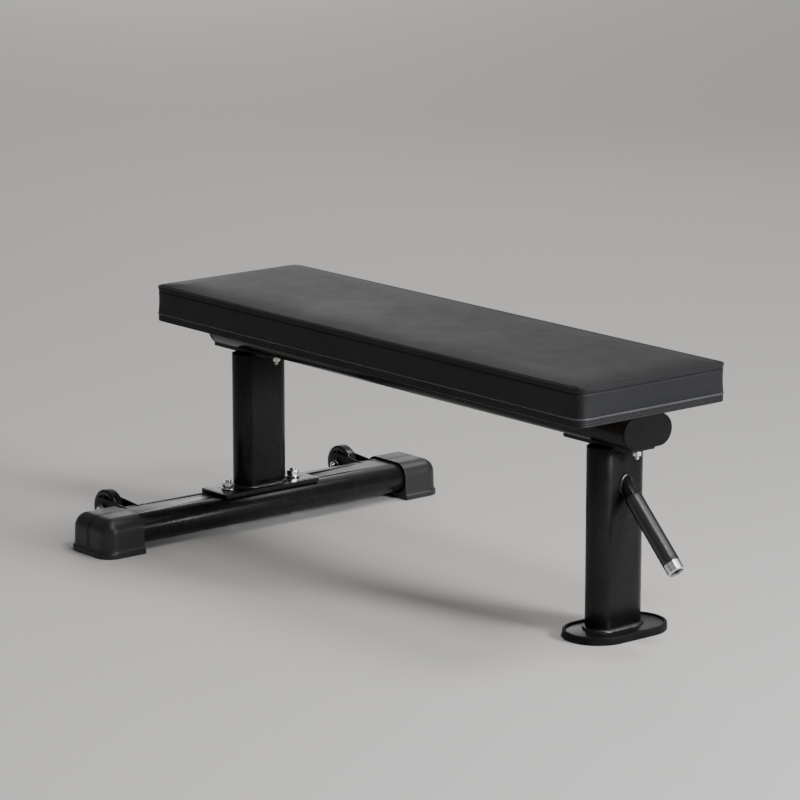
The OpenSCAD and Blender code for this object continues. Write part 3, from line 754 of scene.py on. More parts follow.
def makePad(shape, cloth):
    verts, faces, pins, seamZ = padStartMesh(shape)
    mesh = bpy.data.meshes.new("padCover")
    mesh.from_pydata(verts, [], faces)
    pad = linkObject(bpy.data.objects.new("padCover", mesh))
    bm = bmesh.new()
    bm.from_mesh(mesh)
    bmesh.ops.recalc_face_normals(bm, faces=bm.faces)
    bm.to_mesh(mesh)
    bm.free()
    start = np.array([v.co for v in mesh.vertices])
    start, blown = inflate(pad, pins, cloth)
    travel = blown - start
    print("pad moved up to mm:", round(float(np.linalg.norm(travel, axis=1).max()) * 1000, 2))
    top = start[:, 2] > seamZ + 1e-5
    limit = np.where(top, shape["swellTop"], shape["swellSide"])
    size = np.linalg.norm(travel, axis=1)
    eased = limit * np.tanh(size / limit)
    travel *= (eased / np.maximum(size, 1e-9))[:, None]
    final = start + travel
    final[:, 2] = np.minimum(final[:, 2], padHigh[2] + shape["ceiling"])
    mesh.vertices.foreach_set("co", final.ravel())
    mesh.update()
    subdivide(pad, 1)
    return pad, seamZ


def subdivide(piece, levels):
    modifier = piece.modifiers.new("subdivision", "SUBSURF")
    modifier.levels = modifier.render_levels = levels
    shown = piece.evaluated_get(bpy.context.evaluated_depsgraph_get())
    mesh = bpy.data.meshes.new_from_object(shown)
    piece.modifiers.clear()
    old = piece.data
    piece.data = mesh
    bpy.data.meshes.remove(old)


padCover, seamZ = makePad(padShape, clothLook)
padCover.data.shade_smooth()
padCover.data.materials.append(finishes["padVinyl"])
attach(padCover, "frame")
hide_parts("pad_cover", "pad_foam")
print("pad made")

seamLook = {
    "stitch": 0.0042,        # length of one stitch
    "pitch": 0.0056,         # from one stitch to the next
    "thread": 0.00048,       # thread radius
    "topInset": 0.0042,      # upper row, in from the edge
    "lowDrop": 0.0075,       # lower row, down from the seam
    "wobble": 0.00012,       # how far a lower stitch strays
    "grooveDepth": 0.0011,
    "grooveWidth": 0.0012,
    "foldHeight": 0.0007,    # of the fold that stands along the top edge
    "foldInset": 0.0008,
    "foldWidth": 0.0011,
    "foldRise": 0.0016,
    "puckerDepth": 0.0010,   # of the gathers above the piping
    "puckerPitch": 0.021,
    "puckerAt": 0.004,
    "puckerSpread": 0.005,
}


# Points every step along the pad's outline, moved in by inset: x, y, outward x and y.
def padOutlineAt(inset, step):
    halfLong, halfWide = (padHigh[0] - padLow[0]) / 2, (padHigh[1] - padLow[1]) / 2
    shape = dict(padShape, cell=step, cornerSteps=max(6, round(padShape["cornerRadius"] * 1.57 / step)))
    points, _, _ = outlinePoints(inset, shape, halfLong, halfWide, padShape["cornerRadius"])
    points[:, 0] += padMid[0]
    points[:, 1] += padMid[1]
    return points


# Distance in from the pad's outline, for points in plan.
def rimDistance(xy):
    halfLong, halfWide = (padHigh[0] - padLow[0]) / 2, (padHigh[1] - padLow[1]) / 2
    r = padShape["cornerRadius"]
    dx = np.abs(xy[:, 0] - padMid[0]) - (halfLong - r)
    dy = np.abs(xy[:, 1] - padMid[1]) - (halfWide - r)
    outside = np.hypot(np.maximum(dx, 0), np.maximum(dy, 0)) + np.minimum(np.maximum(dx, dy), 0)
    return r - outside


# Presses the seam grooves into the cover and gathers the band a little above the piping.
def carveSeams(piece, look):
    mesh = piece.data
    co = np.array([v.co for v in mesh.vertices])
    normal = np.array([v.normal for v in mesh.vertices])
    inward = rimDistance(co[:, :2])
    onTop = co[:, 2] > seamZ - 0.0005
    groove = np.zeros(len(co))
    width = look["grooveWidth"]
    topLine = np.where(onTop, np.abs(inward - look["topInset"]), 1)
    lowLine = np.where(~onTop, np.abs(co[:, 2] - (seamZ - look["lowDrop"])), 1)
    for line in (topLine, lowLine):
        groove += np.exp(-(line / width) ** 2)
    fold = np.exp(-((inward - look["foldInset"]) / look["foldWidth"]) ** 2)
    fold *= np.exp(-((co[:, 2] - seamZ) / look["foldRise"]) ** 2)
    # soft gathers along the lower edge
    turn = np.arctan2(co[:, 1] - padMid[1], co[:, 0] - padMid[0])
    along = co[:, 0] * np.abs(np.sin(turn)) + co[:, 1] * np.abs(np.cos(turn))
    stray = np.array([noise.noise(Vector((p[0] * 18, p[1] * 18, 3.1))) for p in co])
    low = np.exp(-((co[:, 2] - (padLow[2] + look["puckerAt"])) / look["puckerSpread"]) ** 2) * (~onTop)
    gather = low * (0.45 + 0.55 * stray) * np.sin(along / look["puckerPitch"] * 2 * math.pi + 3 * stray)
    depth = groove * look["grooveDepth"] + np.maximum(gather, 0) * look["puckerDepth"]
    depth -= fold * look["foldHeight"]
    co -= normal * depth[:, None]
    mesh.vertices.foreach_set("co", co.ravel())
    mesh.update()


# A short thread lying from a to b, pinched at its ends.
def capsule(a, b, up, radius, sides=5):
    a, b, up = Vector(a), Vector(b), Vector(up)
    along = (b - a).normalized()
    across = along.cross(up).normalized()
    rings = []
    for t, size, rise in ((0.0, 0.45, -0.6), (0.16, 0.95, 0.2), (0.5, 1.0, 0.55), (0.84, 0.95, 0.2),
                          (1.0, 0.45, -0.6)):
        centre = a.lerp(b, t) + up * radius * rise
        ring = []
        for i in range(sides):
            w = 2 * math.pi * i / sides
            ring.append(centre + across * math.cos(w) * radius * size + up * math.sin(w) * radius * size)
        rings.append(ring)
    return solidOf(rings)


def joinParts(parts):
    verts, faces = [], []
    for v, f in parts:
        base = len(verts)
        verts += list(v)
        faces += [tuple(i + base for i in face) for face in f]
    return verts, faces


# Lays a stitch on the cover wherever both of its ends find it.
def makeStitches(cover, look):
    tree = BVHTree.FromObject(cover, bpy.context.evaluated_depsgraph_get())
    rng = random.Random(11)
    keep = look["stitch"] / look["pitch"]
    clear = 0.03             # how far outside the pad a ray starts
    parts = []
    for row in ("top", "low"):
        inset = look["topInset"] if row == "top" else 0.0
        points = padOutlineAt(inset, look["pitch"])
        count = len(points)
        for i in range(count):
            x, y, nx, ny = points[i]
            x2, y2 = points[(i + 1) % count][:2]
            ends = []
            for t in (0.5 - keep / 2, 0.5 + keep / 2):
                px, py = x + (x2 - x) * t, y + (y2 - y) * t
                if row == "top":
                    hit = tree.ray_cast(Vector((px, py, padHigh[2] + clear)), Vector((0, 0, -1)))
                else:
                    wobble = rng.uniform(-look["wobble"], look["wobble"])
                    start = Vector((px + nx * clear, py + ny * clear, seamZ - look["lowDrop"] + wobble))
                    hit = tree.ray_cast(start, Vector((-nx, -ny, 0)))
                if hit[0] is not None:
                    ends.append((hit[0], hit[1]))
            if len(ends) == 2:
                up = (ends[0][1] + ends[1][1]).normalized()
                parts.append(capsule(ends[0][0], ends[1][0], up, look["thread"]))
    newPiece("padStitches", joinParts(parts), "vinyl", finish="seamThread")


# Sweeps a closed section (outward, up) along a closed path of (x, y, z, outward x, outward y).
def sweepRing(path, section):
    return solidOf([[(x + nx * a, y + ny * a, z + b) for a, b in section] for x, y, z, nx, ny in path],
                   looped=True)


pipingLook = {
    "step": 0.008,
    "cordShare": 0.92,       # of half the height of the CAD piping
    "setIn": 0.95,
    "tongueFrom": 0.0015,    # the flat welt that runs in between cover and board
    "tongueTo": 0.0030,
    "tongueHalf": 0.0009,
}


def makePiping(look):
    low, high = boxOf("pad_piping")
    middle, half = (low[2] + high[2]) / 2, (high[2] - low[2]) / 2
    path = [(x, y, middle, nx, ny) for x, y, nx, ny in padOutlineAt(0.0, look["step"])]
    out = high[0] - padHigh[0]
    cord = arcPoints((out - half * look["setIn"], 0.0), half * look["cordShare"], 0.0, 2 * math.pi, 14)
    near, far, thick = -look["tongueFrom"], -look["tongueTo"], look["tongueHalf"]
    tongue = [(near, thick), (far, thick), (far, -thick), (near, -thick)]
    parts = joinParts([sweepRing(path, cord), sweepRing(path, tongue)])
    newPiece("padPiping", parts, "piping", "pad_piping")


trimLook = {"ribs": 3, "ribDepth": 0.0009, "thickness": 0.003, "step": 0.010, "ribSteps": 9}


# Edge strip round the board, with round ribs between narrow grooves.
def makeTrim(look):
    low, high = boxOf("pad_trim")
    height = high[2] - low[2]
    path = [(x, y, low[2], nx, ny) for x, y, nx, ny in padOutlineAt(0.0, look["step"])]
    section = [(-look["thickness"], 0.0002), (-0.0012, 0.0)]
    for rib in range(look["ribs"]):
        for i in range(look["ribSteps"] + 1):
            t = i / look["ribSteps"]
            bulge = math.sqrt(max(0.0, 1 - (2 * t - 1) ** 2))
            section.append((-look["ribDepth"] * (1 - bulge), height * (rib + 0.04 + 0.92 * t) / look["ribs"]))
    section += [(-0.0012, height), (-look["thickness"], height - 0.0002)]
    newPiece("padTrim", sweepRing(path, section), "trim", "pad_trim")


carveSeams(padCover, seamLook)
makeStitches(padCover, seamLook)
makePiping(pipingLook)
makeTrim(trimLook)
print("pad seams, stitches, piping and trim made")


# Lathes (radius, height) points about +Z.
def turned(profile, sides=48):
    return [[(x, y, height) for x, y in arcPoints((0.0, 0.0), radius, 0.0, 2 * math.pi, sides)]
            for radius, height in profile]


def moved(part, matrix):
    verts, faces = part
    return [matrix @ Vector(v) for v in verts], faces


# One hexagonal ring whose corners are cut back to a limit.
def hexRing(half, limit, z, sides=72):
    ring = []
    for i in range(sides):
        a = 2 * math.pi * i / sides
        b = (a + math.pi / 6) % (math.pi / 3) - math.pi / 6
        r = min(half / math.cos(b), limit)
        ring.append((r * math.cos(a), r * math.sin(a), z))
    return ring


# Nut with both faces chamfered and a countersunk bore.
def hexNut(across, height, bore):
    half = across / 2
    corner = half / math.cos(math.pi / 6)
    cut, sink = 0.09 * across, 0.0007
    levels = [(0.0, half * 0.97), (cut * 0.35, (half + corner) / 2), (cut, corner), (height - cut, corner),
              (height - cut * 0.35, (half + corner) / 2), (height, half * 0.97)]
    inner = [(bore / 2 + sink, height), (bore / 2, height - sink), (bore / 2, sink), (bore / 2 + sink, 0.0)]
    return solidOf([hexRing(half, limit, z) for z, limit in levels] + turned(inner, 72), looped=True)


# Bolt head below z = 0, chamfered on its free side.
def hexHead(across, height):
    half = across / 2
    corner = half / math.cos(math.pi / 6)
    cut = 0.10 * across
    levels = [(-height, half * 0.72), (-height, half * 0.96), (-height + cut * 0.4, (half + corner) / 2),
              (-height + cut, corner), (-0.0004, corner), (0.0, half * 0.98)]
    return solidOf([hexRing(half, limit, z) for z, limit in levels])


# Rod along +Z, with a real helical thread or plain.
def threadedRod(diameter, start, end, pitch=0.00125, threaded=True, sides=24):
    radius, depth = diameter / 2, pitch * 0.42 if threaded else 0.0
    count = max(2, round((end - start) / (pitch / 6))) if threaded else 1
    rings = []
    for k in range(count + 1):
        z = start + (end - start) * k / count
        tip = max(0.0, z - (end - 0.0012)) if threaded else 0.0
        ring = []
        for i in range(sides):
            a = 2 * math.pi * i / sides
            phase = (z / pitch - a / (2 * math.pi)) % 1.0
            r = radius - depth * abs(2 * phase - 1) - tip
            ring.append((r * math.cos(a), r * math.sin(a), z))
        rings.append(ring)
    return solidOf(rings)


def flatWasher(bore, outer, thickness):
    edge = min(0.0003, thickness / 4)
    profile = [(bore / 2, 0.0), (outer / 2 - edge, 0.0), (outer / 2, edge), (outer / 2, thickness - edge),
               (outer / 2 - edge, thickness), (bore / 2, thickness)]
    return solidOf(turned(profile, 40), looped=True)


# Matrix that puts +Z along axis at a place.
def axisFrame(place, axis):
    turn = Vector(axis).normalized().to_track_quat("Z", "Y").to_matrix().to_4x4()
    return Matrix.Translation(Vector(place)) @ turn


# Middles of the separate solids of a fastener node, found from its vertices.
def boltSpots(node, count):
    points = np.array([v.co for v in nodes[node].data.vertices])
    groups = []
    reach = 0.03             # wider than any head, closer than any two bolts
    for p in points:
        for g in groups:
            if np.hypot(p[0] - g[0][0], p[1] - g[0][1]) < reach:
                g.append(p)
                break
        else:
            groups.append([p])
    corners = [(np.min(g, axis=0), np.max(g, axis=0)) for g in groups]
    spots = [((low + high) / 2, low, high) for low, high in corners]
    if len(spots) != count:
        raise RuntimeError(f"{node}: {len(spots)} spots, expected {count}")
    return spots


fastenerLook = {
    "baseThread": 0.012,
    "baseAcross": 1.583,      # head and nut, as a share of the thread
    "basePitch": 0.00175,
    "baseShank": 0.045,       # plain length under the head
    "smallThread": 0.008,
    "smallAcross": 1.625,
    "domeHead": 1.1,          # radius of a flange bolt's head, as a share of the thread
    "domeHeight": 0.55,
    "threadPlay": 0.0003,
    "washerPlay": 0.0005,
    "overlap": 0.0005,        # how far a rod runs into its head
    "endThread": 0.012,       # threaded length of an axle bolt
    "twist": 17.0,            # degrees from one bolt to the next, so no two stand alike
}


def spun(spot, z, degrees=0.0):
    return Matrix.Translation(Vector((spot[0], spot[1], z))) @ Matrix.Rotation(math.radians(degrees), 4, "Z")


def washersAt(node, count, bore):
    return joinParts([moved(flatWasher(bore, high[0] - low[0], high[2] - low[2]), spun(mid, low[2]))
                      for mid, low, high in boltSpots(node, count)])


def makeBaseFasteners(look):
    d, shank = look["baseThread"], look["baseShank"]
    nuts, bolts = [], []
    for k, (mid, low, high) in enumerate(boltSpots("base_nuts", 2)):
        nuts.append(moved(hexNut(min(high[:2] - low[:2]), high[2] - low[2], d), spun(mid, low[2], 11 + 34 * k)))
    seat = boxOf("rear_cross_tube")[0][2]
    for k, (mid, low, high) in enumerate(boltSpots("base_bolts", 2)):
        plain = threadedRod(d - 2 * look["threadPlay"], seat - 0.001, seat + shank, threaded=False)
        thread = threadedRod(d - look["threadPlay"], seat + shank - 0.001, high[2], pitch=look["basePitch"])
        bolts.append(moved(hexHead(look["baseAcross"] * d, seat - low[2]), spun(mid, seat, 20 * k)))
        bolts += [moved(plain, spun(mid, 0)), moved(thread, spun(mid, 0))]
    washers = washersAt("base_washers", 2, d + look["washerPlay"])
    newPiece("baseNuts", joinParts(nuts), "chrome", "base_nuts")
    newPiece("baseWashers", washers, "chrome", "base_washers")
    newPiece("baseBolts", joinParts(bolts), "chrome", "base_bolts")


def makeFlangeFasteners(look):
    d = look["smallThread"]
    nuts, bolts = [], []
    for k, (mid, low, high) in enumerate(boltSpots("flange_nuts", 4)):
        nut = hexNut(look["smallAcross"] * d, high[2] - low[2], d)
        nuts.append(moved(nut, spun(mid, low[2], look["twist"] * k)))
    for mid, low, high in boltSpots("flange_bolts", 4):
        turn = Matrix.Translation(Vector((mid[0], mid[1], high[2]))) @ Matrix.Rotation(math.pi, 4, "X")
        head, wide = look["domeHeight"] * d, look["domeHead"] * d
        dome = [(0.0002, 0.0), (wide * 0.5, head * 0.05), (wide * 0.8, head * 0.28), (wide, head * 0.8),
                (wide, head)]
        rod = threadedRod(d - look["threadPlay"], head - look["overlap"], high[2] - low[2])
        bolts += [moved(solidOf(turned(dome, 32)), turn), moved(rod, turn)]
    newPiece("flangeNuts", joinParts(nuts), "zinc", "flange_nuts")
    newPiece("flangeBolts", joinParts(bolts), "zinc", "flange_bolts")


def makePadFasteners(look):
    d = look["smallThread"]
    bolts = []
    seat = boxOf("pad_bolt_washers")[0][2]
    for k, (mid, low, high) in enumerate(boltSpots("pad_bolts", 4)):
        head = hexHead(look["smallAcross"] * d, seat - low[2])
        bolts.append(moved(head, spun(mid, seat, look["twist"] * k)))
        bolts.append(moved(threadedRod(d - look["threadPlay"], seat - look["overlap"], high[2]), spun(mid, 0)))
    washers = washersAt("pad_bolt_washers", 4, d + look["washerPlay"])
    newPiece("padBoltWashers", washers, "zinc", "pad_bolt_washers")
    newPiece("padBolts", joinParts(bolts), "zinc", "pad_bolts")


def makeAxleFasteners(look, side):
    d = look["smallThread"]
    sign = -1 if side == "left" else 1
    outer, inner = (1, 0) if sign > 0 else (0, 1)      # which corner of a box is the outer one
    nut, bolt, wash = (boxOf(side + "_axle_" + part) for part in ("nut", "bolt", "washers"))
    x, z = (bolt[0][0] + bolt[1][0]) / 2, (bolt[0][2] + bolt[1][2]) / 2
    axis, back = (0, sign, 0), (0, -sign, 0)
    thickness = 0.2 * d
    outerY, innerY = wash[outer][1], wash[inner][1]
    hexagon = moved(hexNut(look["smallAcross"] * d, nut[1][1] - nut[0][1], d),
                    axisFrame((x, nut[inner][1], z), axis))
    newPiece(side + "AxleNut", hexagon, "chrome", side + "_axle_nut")
    washers = [moved(flatWasher(d + look["washerPlay"], wash[1][0] - wash[0][0], thickness),
                     axisFrame((x, y, z), axis)) for y in (outerY - sign * thickness, innerY)]
    newPiece(side + "AxleWashers", joinParts(washers), "chrome", side + "_axle_washers")
    length, overlap, thread = abs(bolt[inner][1] - outerY), look["overlap"], look["endThread"]
    parts = [hexHead(look["smallAcross"] * d, abs(bolt[outer][1] - outerY)),
             threadedRod(d - 0.0002, -overlap, length - thread, threaded=False),
             threadedRod(d - look["threadPlay"], length - thread - overlap, length)]
    parts = [moved(part, axisFrame((x, outerY, z), back)) for part in parts]
    newPiece(side + "AxleBolt", joinParts(parts), "chrome", side + "_axle_bolt")


makeBaseFasteners(fastenerLook)
makeFlangeFasteners(fastenerLook)
makePadFasteners(fastenerLook)
for sideName in ("left", "right"):
    makeAxleFasteners(fastenerLook, sideName)
print("fasteners made")

wheelShape = {
    "tyre": 0.009,
    "shoulder": 0.005,
    "hub": 0.0114,
    "web": 0.006,
    "edge": 0.0008,
    "bushWall": 0.0023,
    "sides": 72,
    "spokes": 6,
    "spokeWidth": 0.0038,
    "grooves": 2,
    "grooveDepth": 0.0007,
}


def makeWheel(side, shape):
    low, high = boxOf(side + "_wheel")
    middle = (low + high) / 2
    radius, half = (high[0] - low[0]) / 2, (high[1] - low[1]) / 2
    bushLow, bushHigh = boxOf(side + "_wheel_bush")
    bore = (bushHigh[0] - bushLow[0]) / 2
    s, inner, hub, edge = shape["shoulder"], radius - shape["tyre"], shape["hub"], shape["edge"]
    web = shape["web"] / 2
    outline = [(bore, -half), (bore + edge, -half), (hub - edge, -half), (hub, -half + edge),
               (hub + 0.0006, -web - 0.001), (hub + 0.0016, -web), (inner - 0.0016, -web),
               (inner - 0.0006, -web - 0.001), (inner, -half + 0.0012), (inner + 0.0006, -half + 0.0002)]
    for i in range(13):
        a = -math.pi / 2 + math.pi / 2 * i / 12
        outline.append((radius - s + s * math.cos(a), -half + s + s * math.sin(a)))
    farFace = [(r, -z) for r, z in outline][::-1]
    flat, floor = half - s, radius - shape["grooveDepth"]
    for g in range(shape["grooves"]):
        centre = -flat + 2 * flat * (g + 0.5) / shape["grooves"]
        outline += [(radius, centre - 0.0011), (floor, centre - 0.0005), (floor, centre + 0.0005),
                    (radius, centre + 0.0011)]
    parts = [solidOf(turned(outline + farFace, shape["sides"]), looped=True)]
    for k in range(shape["spokes"]):
        turn = Matrix.Rotation(2 * math.pi * k / shape["spokes"] + 0.2, 4, "Z")
        spoke = spokeBlock(hub - 0.001, inner + 0.001, shape["spokeWidth"], half - 0.0022)
        parts.append(moved(spoke, turn))
    place = axisFrame(middle, (0, 1, 0))
    wheel = newPiece(side + "Wheel", moved(joinParts(parts), place), "wheel", side + "_wheel", side + "_wheel")
    smoothByAngle(wheel, 40)
    length, hole = (bushHigh[1] - bushLow[1]) / 2, bore - shape["bushWall"]
    tube = solidOf(turned([(hole, -length), (bore, -length), (bore, length), (hole, length)], 40), looped=True)
    bush = newPiece(side + "WheelBush", moved(tube, place), "bush", side + "_wheel_bush", side + "_wheel")
    smoothByAngle(bush, 40)


# A rib between hub and rim, thinner at the face than at the web.
def spokeBlock(start, end, width, half):
    rings = []
    for z, w in ((-half, 0.62), (-half + 0.0006, 0.8), (0.0, 1.0), (half - 0.0006, 0.8), (half, 0.62)):
        h = width / 2 * w
        rings.append([(start, -h, z), (end, -h * 1.25, z), (end, h * 1.25, z), (start, h, z)])
    return solidOf(rings)


for sideName in ("left", "right"):
    makeWheel(sideName, wheelShape)
print("wheels made")

bootShape = {
    "flangeHeight": 0.009,
    "flangeOut": 0.004,
    "planRadius": 0.027,
    "domeRadius": 0.025,
    "domeSteps": 14,
    "flare": 0.0012,
    "grooveGap": 0.0050,
    "grooveWidth": 0.0019,
    "grooveDepth": 0.0014,
    "mouthGap": 0.0026,
    "tubeGap": 0.0004,
    "mouthDepth": 0.014,
}


# Plan outline of a boot at one height: x across the tube's width, y along the tube.
def bootRing(half, inner, end, radius, z, steps=12, flat=10):
    cx, cy = half - radius, end - radius
    points = [(-half + 2 * half * i / flat, inner) for i in range(flat)]
    points += [(half, inner + (cy - inner) * i / flat) for i in range(flat)]
    points += arcPoints((cx, cy), radius, 0.0, math.pi / 2, steps)
    points += [(cx - 2 * cx * i / flat, end) for i in range(flat)]
    points += arcPoints((-cx, cy), radius, math.pi / 2, math.pi, steps)
    points += [(-half, cy - (cy - inner) * i / flat) for i in range(flat)]
    return [(x, y, z) for x, y in points]


# Takes the cutter's solid out of the piece.
def carve(piece, cutter):
    modifier = piece.modifiers.new("carve", "BOOLEAN")
    modifier.operation = "DIFFERENCE"
    modifier.solver = "EXACT"
    modifier.object = cutter
    shown = piece.evaluated_get(bpy.context.evaluated_depsgraph_get())
    mesh = bpy.data.meshes.new_from_object(shown)
    piece.modifiers.remove(modifier)
    piece.data = mesh
    data = cutter.data
    bpy.data.objects.remove(cutter)
    bpy.data.meshes.remove(data)


def plainObject(name, part):
    mesh = bpy.data.meshes.new(name)
    mesh.from_pydata([tuple(v) for v in part[0]], [], part[1])
    fixNormals(mesh)
    return linkObject(bpy.data.objects.new(name, mesh))


# Flat-oval outline: width along the first axis.
def stadium(width, thickness, steps=20, flat=8):
    straight, r = (width - thickness) / 2, thickness / 2
    points = [(-straight + 2 * straight * i / flat, -r) for i in range(flat)]
    points += arcPoints((straight, 0.0), r, -math.pi / 2, math.pi / 2, steps)
    points += [(straight - 2 * straight * i / flat, r) for i in range(flat)]
    points += arcPoints((-straight, 0.0), r, math.pi / 2, 3 * math.pi / 2, steps)
    return points


# Two fine grooves over the top and down the outer end.
def carveBootGrooves(boot, shape, inner, end, top):
    dome, w, d = shape["domeRadius"], shape["grooveWidth"] / 2, shape["grooveDepth"]
    line = [(inner - 0.004, top)]
    for i in range(13):
        a = math.pi / 2 * i / 12
        line.append((end - dome + dome * math.sin(a), top - dome + dome * math.cos(a)))
    line.append((end, shape["flangeHeight"] + 0.004))
    for k in (-1, 1):
        x = k * shape["grooveGap"] / 2
        rings = []
        for i, (y, z) in enumerate(line):
            before, after = line[max(0, i - 1)], line[min(len(line) - 1, i + 1)]
            ty, tz = after[0] - before[0], after[1] - before[1]
            size = math.hypot(ty, tz)
            ny, nz = -tz / size, ty / size
            rings.append([(x - w, y + ny * d, z + nz * d), (x + w, y + ny * d, z + nz * d),
                          (x + w * 0.6, y - ny * d, z - nz * d), (x - w * 0.6, y - ny * d, z - nz * d)])
        carve(boot, plainObject("grooveTool", solidOf(rings)))


def makeBoot(side, shape):
    low, high = boxOf(side + "_boot")
    sign = -1 if side == "left" else 1
    innerY, endY = sorted((abs(low[1]), abs(high[1])))
    top, half, out, flare = high[2], (high[0] - low[0]) / 2, shape["flangeOut"], shape["flare"]
    dome, plan, lip = shape["domeRadius"], shape["planRadius"], shape["flangeHeight"]
    bodyZ = top - dome
    # (growth, height): slightly tucked foot, square lip, small cove, then the body with its flare
    levels = [(-0.0012, 0.0), (0.0, 0.0012), (0.0, lip - 0.0012), (-0.0006, lip - 0.0003), (-0.0012, lip),
              (-out + 0.0010 + flare, lip + 0.0004), (-out + 0.0002 + flare, lip + 0.0016)]
    levels += [(-out + flare * (1 - i / 6), lip + (bodyZ - lip) * (i / 6)) for i in range(1, 6)]
    rings = [bootRing(half + grow, innerY, endY + grow, plan + grow, z) for grow, z in levels]
    for i in range(shape["domeSteps"] + 1):
        a = math.pi / 2 * i / shape["domeSteps"]
        pull = dome * (1 - math.cos(a))
        rings.append(bootRing(half - out - pull, innerY, endY - out - pull, max(0.002, plan - out - pull),
                              bodyZ + dome * math.sin(a)))
    boot = plainObject(side + "Boot", solidOf(rings))
    # open the inner end round the tube
    tubeLow, tubeHigh = boxOf("rear_cross_tube")
    width, thick, centreZ = tubeHigh[0] - tubeLow[0], tubeHigh[2] - tubeLow[2], (tubeLow[2] + tubeHigh[2]) / 2
    wide, close, deep = shape["mouthGap"], shape["tubeGap"], innerY + shape["mouthDepth"]
    loops = []
    for y, gap in ((innerY - 0.01, wide), (innerY + 0.0005, wide), (deep, wide), (deep + 0.001, close),
                   (tubeHigh[1] + 0.0003, close)):
        loops.append([(a, y, centreZ + b) for a, b in stadium(width + 2 * gap, thick + 2 * gap)])
    carve(boot, plainObject("mouthTool", solidOf(loops)))
    carveBootGrooves(boot, shape, innerY, endY - out, top)
    x0 = (low[0] + high[0]) / 2
    bm = bmesh.new()
    bm.from_mesh(boot.data)
    bmesh.ops.remove_doubles(bm, verts=bm.verts, dist=2e-6)
    for v in bm.verts:
        v.co = Vector((v.co.x + x0, v.co.y * sign, v.co.z))
    bmesh.ops.recalc_face_normals(bm, faces=bm.faces)
    bm.to_mesh(boot.data)
    bm.free()
    boot.data.materials.clear()
    boot.data.materials.append(finishes["bootRubber"])
    smoothByAngle(boot, 32)
    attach(boot, "frame")
    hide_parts(side + "_boot")


for sideName in ("left", "right"):
    makeBoot(sideName, bootShape)
print("boots made")

footShape = {"rimTop": 0.0016, "toe": 0.0012, "lean": 0.0006, "plateGap": 0.0003, "ledge": 0.010}


# Closed flat-oval rings in plan; levels are (inset, z).
def ovalRings(centre, width, length, levels, steps=40, flat=16):
    rings = []
    for inset, z in levels:
        ring = stadium(width - 2 * inset, length - 2 * inset, steps, flat)
        rings.append([(centre[0] + b, centre[1] + a, z) for a, b in ring])
    return rings


def makeFoot(shape):
    low, high = boxOf("front_foot")
    plateLow = boxOf("front_base_plate")[0]
    centre = ((low[0] + high[0]) / 2, (low[1] + high[1]) / 2)
    width, length, top = high[1] - low[1], high[0] - low[0], high[2]
    rim, under = plateLow[1] - low[1], plateLow[2]
    r, toe, lean = shape["rimTop"], shape["toe"], shape["lean"]
    inner, ledge = rim - shape["plateGap"], rim + shape["ledge"]
    levels = [(toe, 0.0), (0.0, toe), (lean, top - r - 0.001)]
    for i in range(1, 7):
        a = math.pi / 2 * i / 6
        levels.append((lean + r * (1 - math.cos(a)), top - r + r * math.sin(a)))
    for i in range(7):
        a = math.pi / 2 * (1 - i / 6)
        levels.append((inner - r * (1 - math.cos(a)), top - r + r * math.sin(a)))
    levels += [(inner, under), (ledge, under), (ledge, under - 0.002), (ledge, 0.0006), (rim + 0.002, 0.0006),
               (rim, 0.0)]
    border = solidOf(ovalRings(centre, width, length, levels), looped=True)
    slab = ledge - 0.0005
    sole = solidOf(ovalRings(centre, width, length, [(slab, under - 0.0001), (slab, 0.0007)]))
    foot = newPiece("frontFoot", joinParts([border, sole]), "foot_rubber", "front_foot")
    smoothByAngle(foot, 50)


makeFoot(footShape)

capShape = {"edge": 0.0022, "dish": 0.0004, "lip": 0.0004, "plugInset": 0.0029}


# Moulded plug: a rounded head with a faint dish, and the part that grips inside the tube.
def makeBeamCap(end, shape):
    low, high = boxOf(end + "_beam_cap")
    beam = boxOf("main_beam")
    sign = 1 if end == "front" else -1
    tubeEnd, face = (beam[1][0], high[0]) if sign > 0 else (beam[0][0], low[0])
    head = abs(face - tubeEnd)
    plug = (high[0] - low[0]) - head
    width, thick, centreZ = high[1] - low[1], high[2] - low[2], (low[2] + high[2]) / 2
    edge, dish, lip = shape["edge"], shape["dish"], shape["lip"]
    levels = [(shape["plugInset"], -plug), (shape["plugInset"], -0.0002), (-lip, 0.0), (-lip, head - edge)]
    for i in range(1, 8):
        a = math.pi / 2 * i / 7
        levels.append((-lip + edge * (1 - math.cos(a)), head - edge + edge * math.sin(a)))
    levels += [(0.006, head - dish * 0.2), (0.012, head - dish * 0.7), (0.020, head - dish)]
    rings = [[(tubeEnd + sign * x, a, centreZ + b) for a, b in
              stadium(width - 2 * inset, thick - 2 * inset, 28, 10)] for inset, x in levels]
    cap = newPiece(end + "BeamCap", solidOf(rings), "cap", end + "_beam_cap")
    smoothByAngle(cap, 40)


for endName in ("front", "rear"):
    makeBeamCap(endName, capShape)

handleLook = {
    "angle": 45.0,
    "bare": 0.024,
    "length": 0.166,
    "collar": 0.017,
    "bore": 0.0085,
    "boreDepth": 0.012,
}


# The point where the handle's axis leaves the upright's front face, and a frame there with +Z
# along the handle.
def handleFrame(look):
    faceX = boxOf("front_upright")[1][0]
    angle = math.radians(look["angle"])
    slant = Vector((math.cos(angle), 0, -math.sin(angle)))
    collarLow, collarHigh = boxOf("handle_collar")
    middle = (Vector(collarLow) + Vector(collarHigh)) / 2
    start = middle - slant * ((middle.x - faceX) / slant.x)
    return start, axisFrame(start, slant)


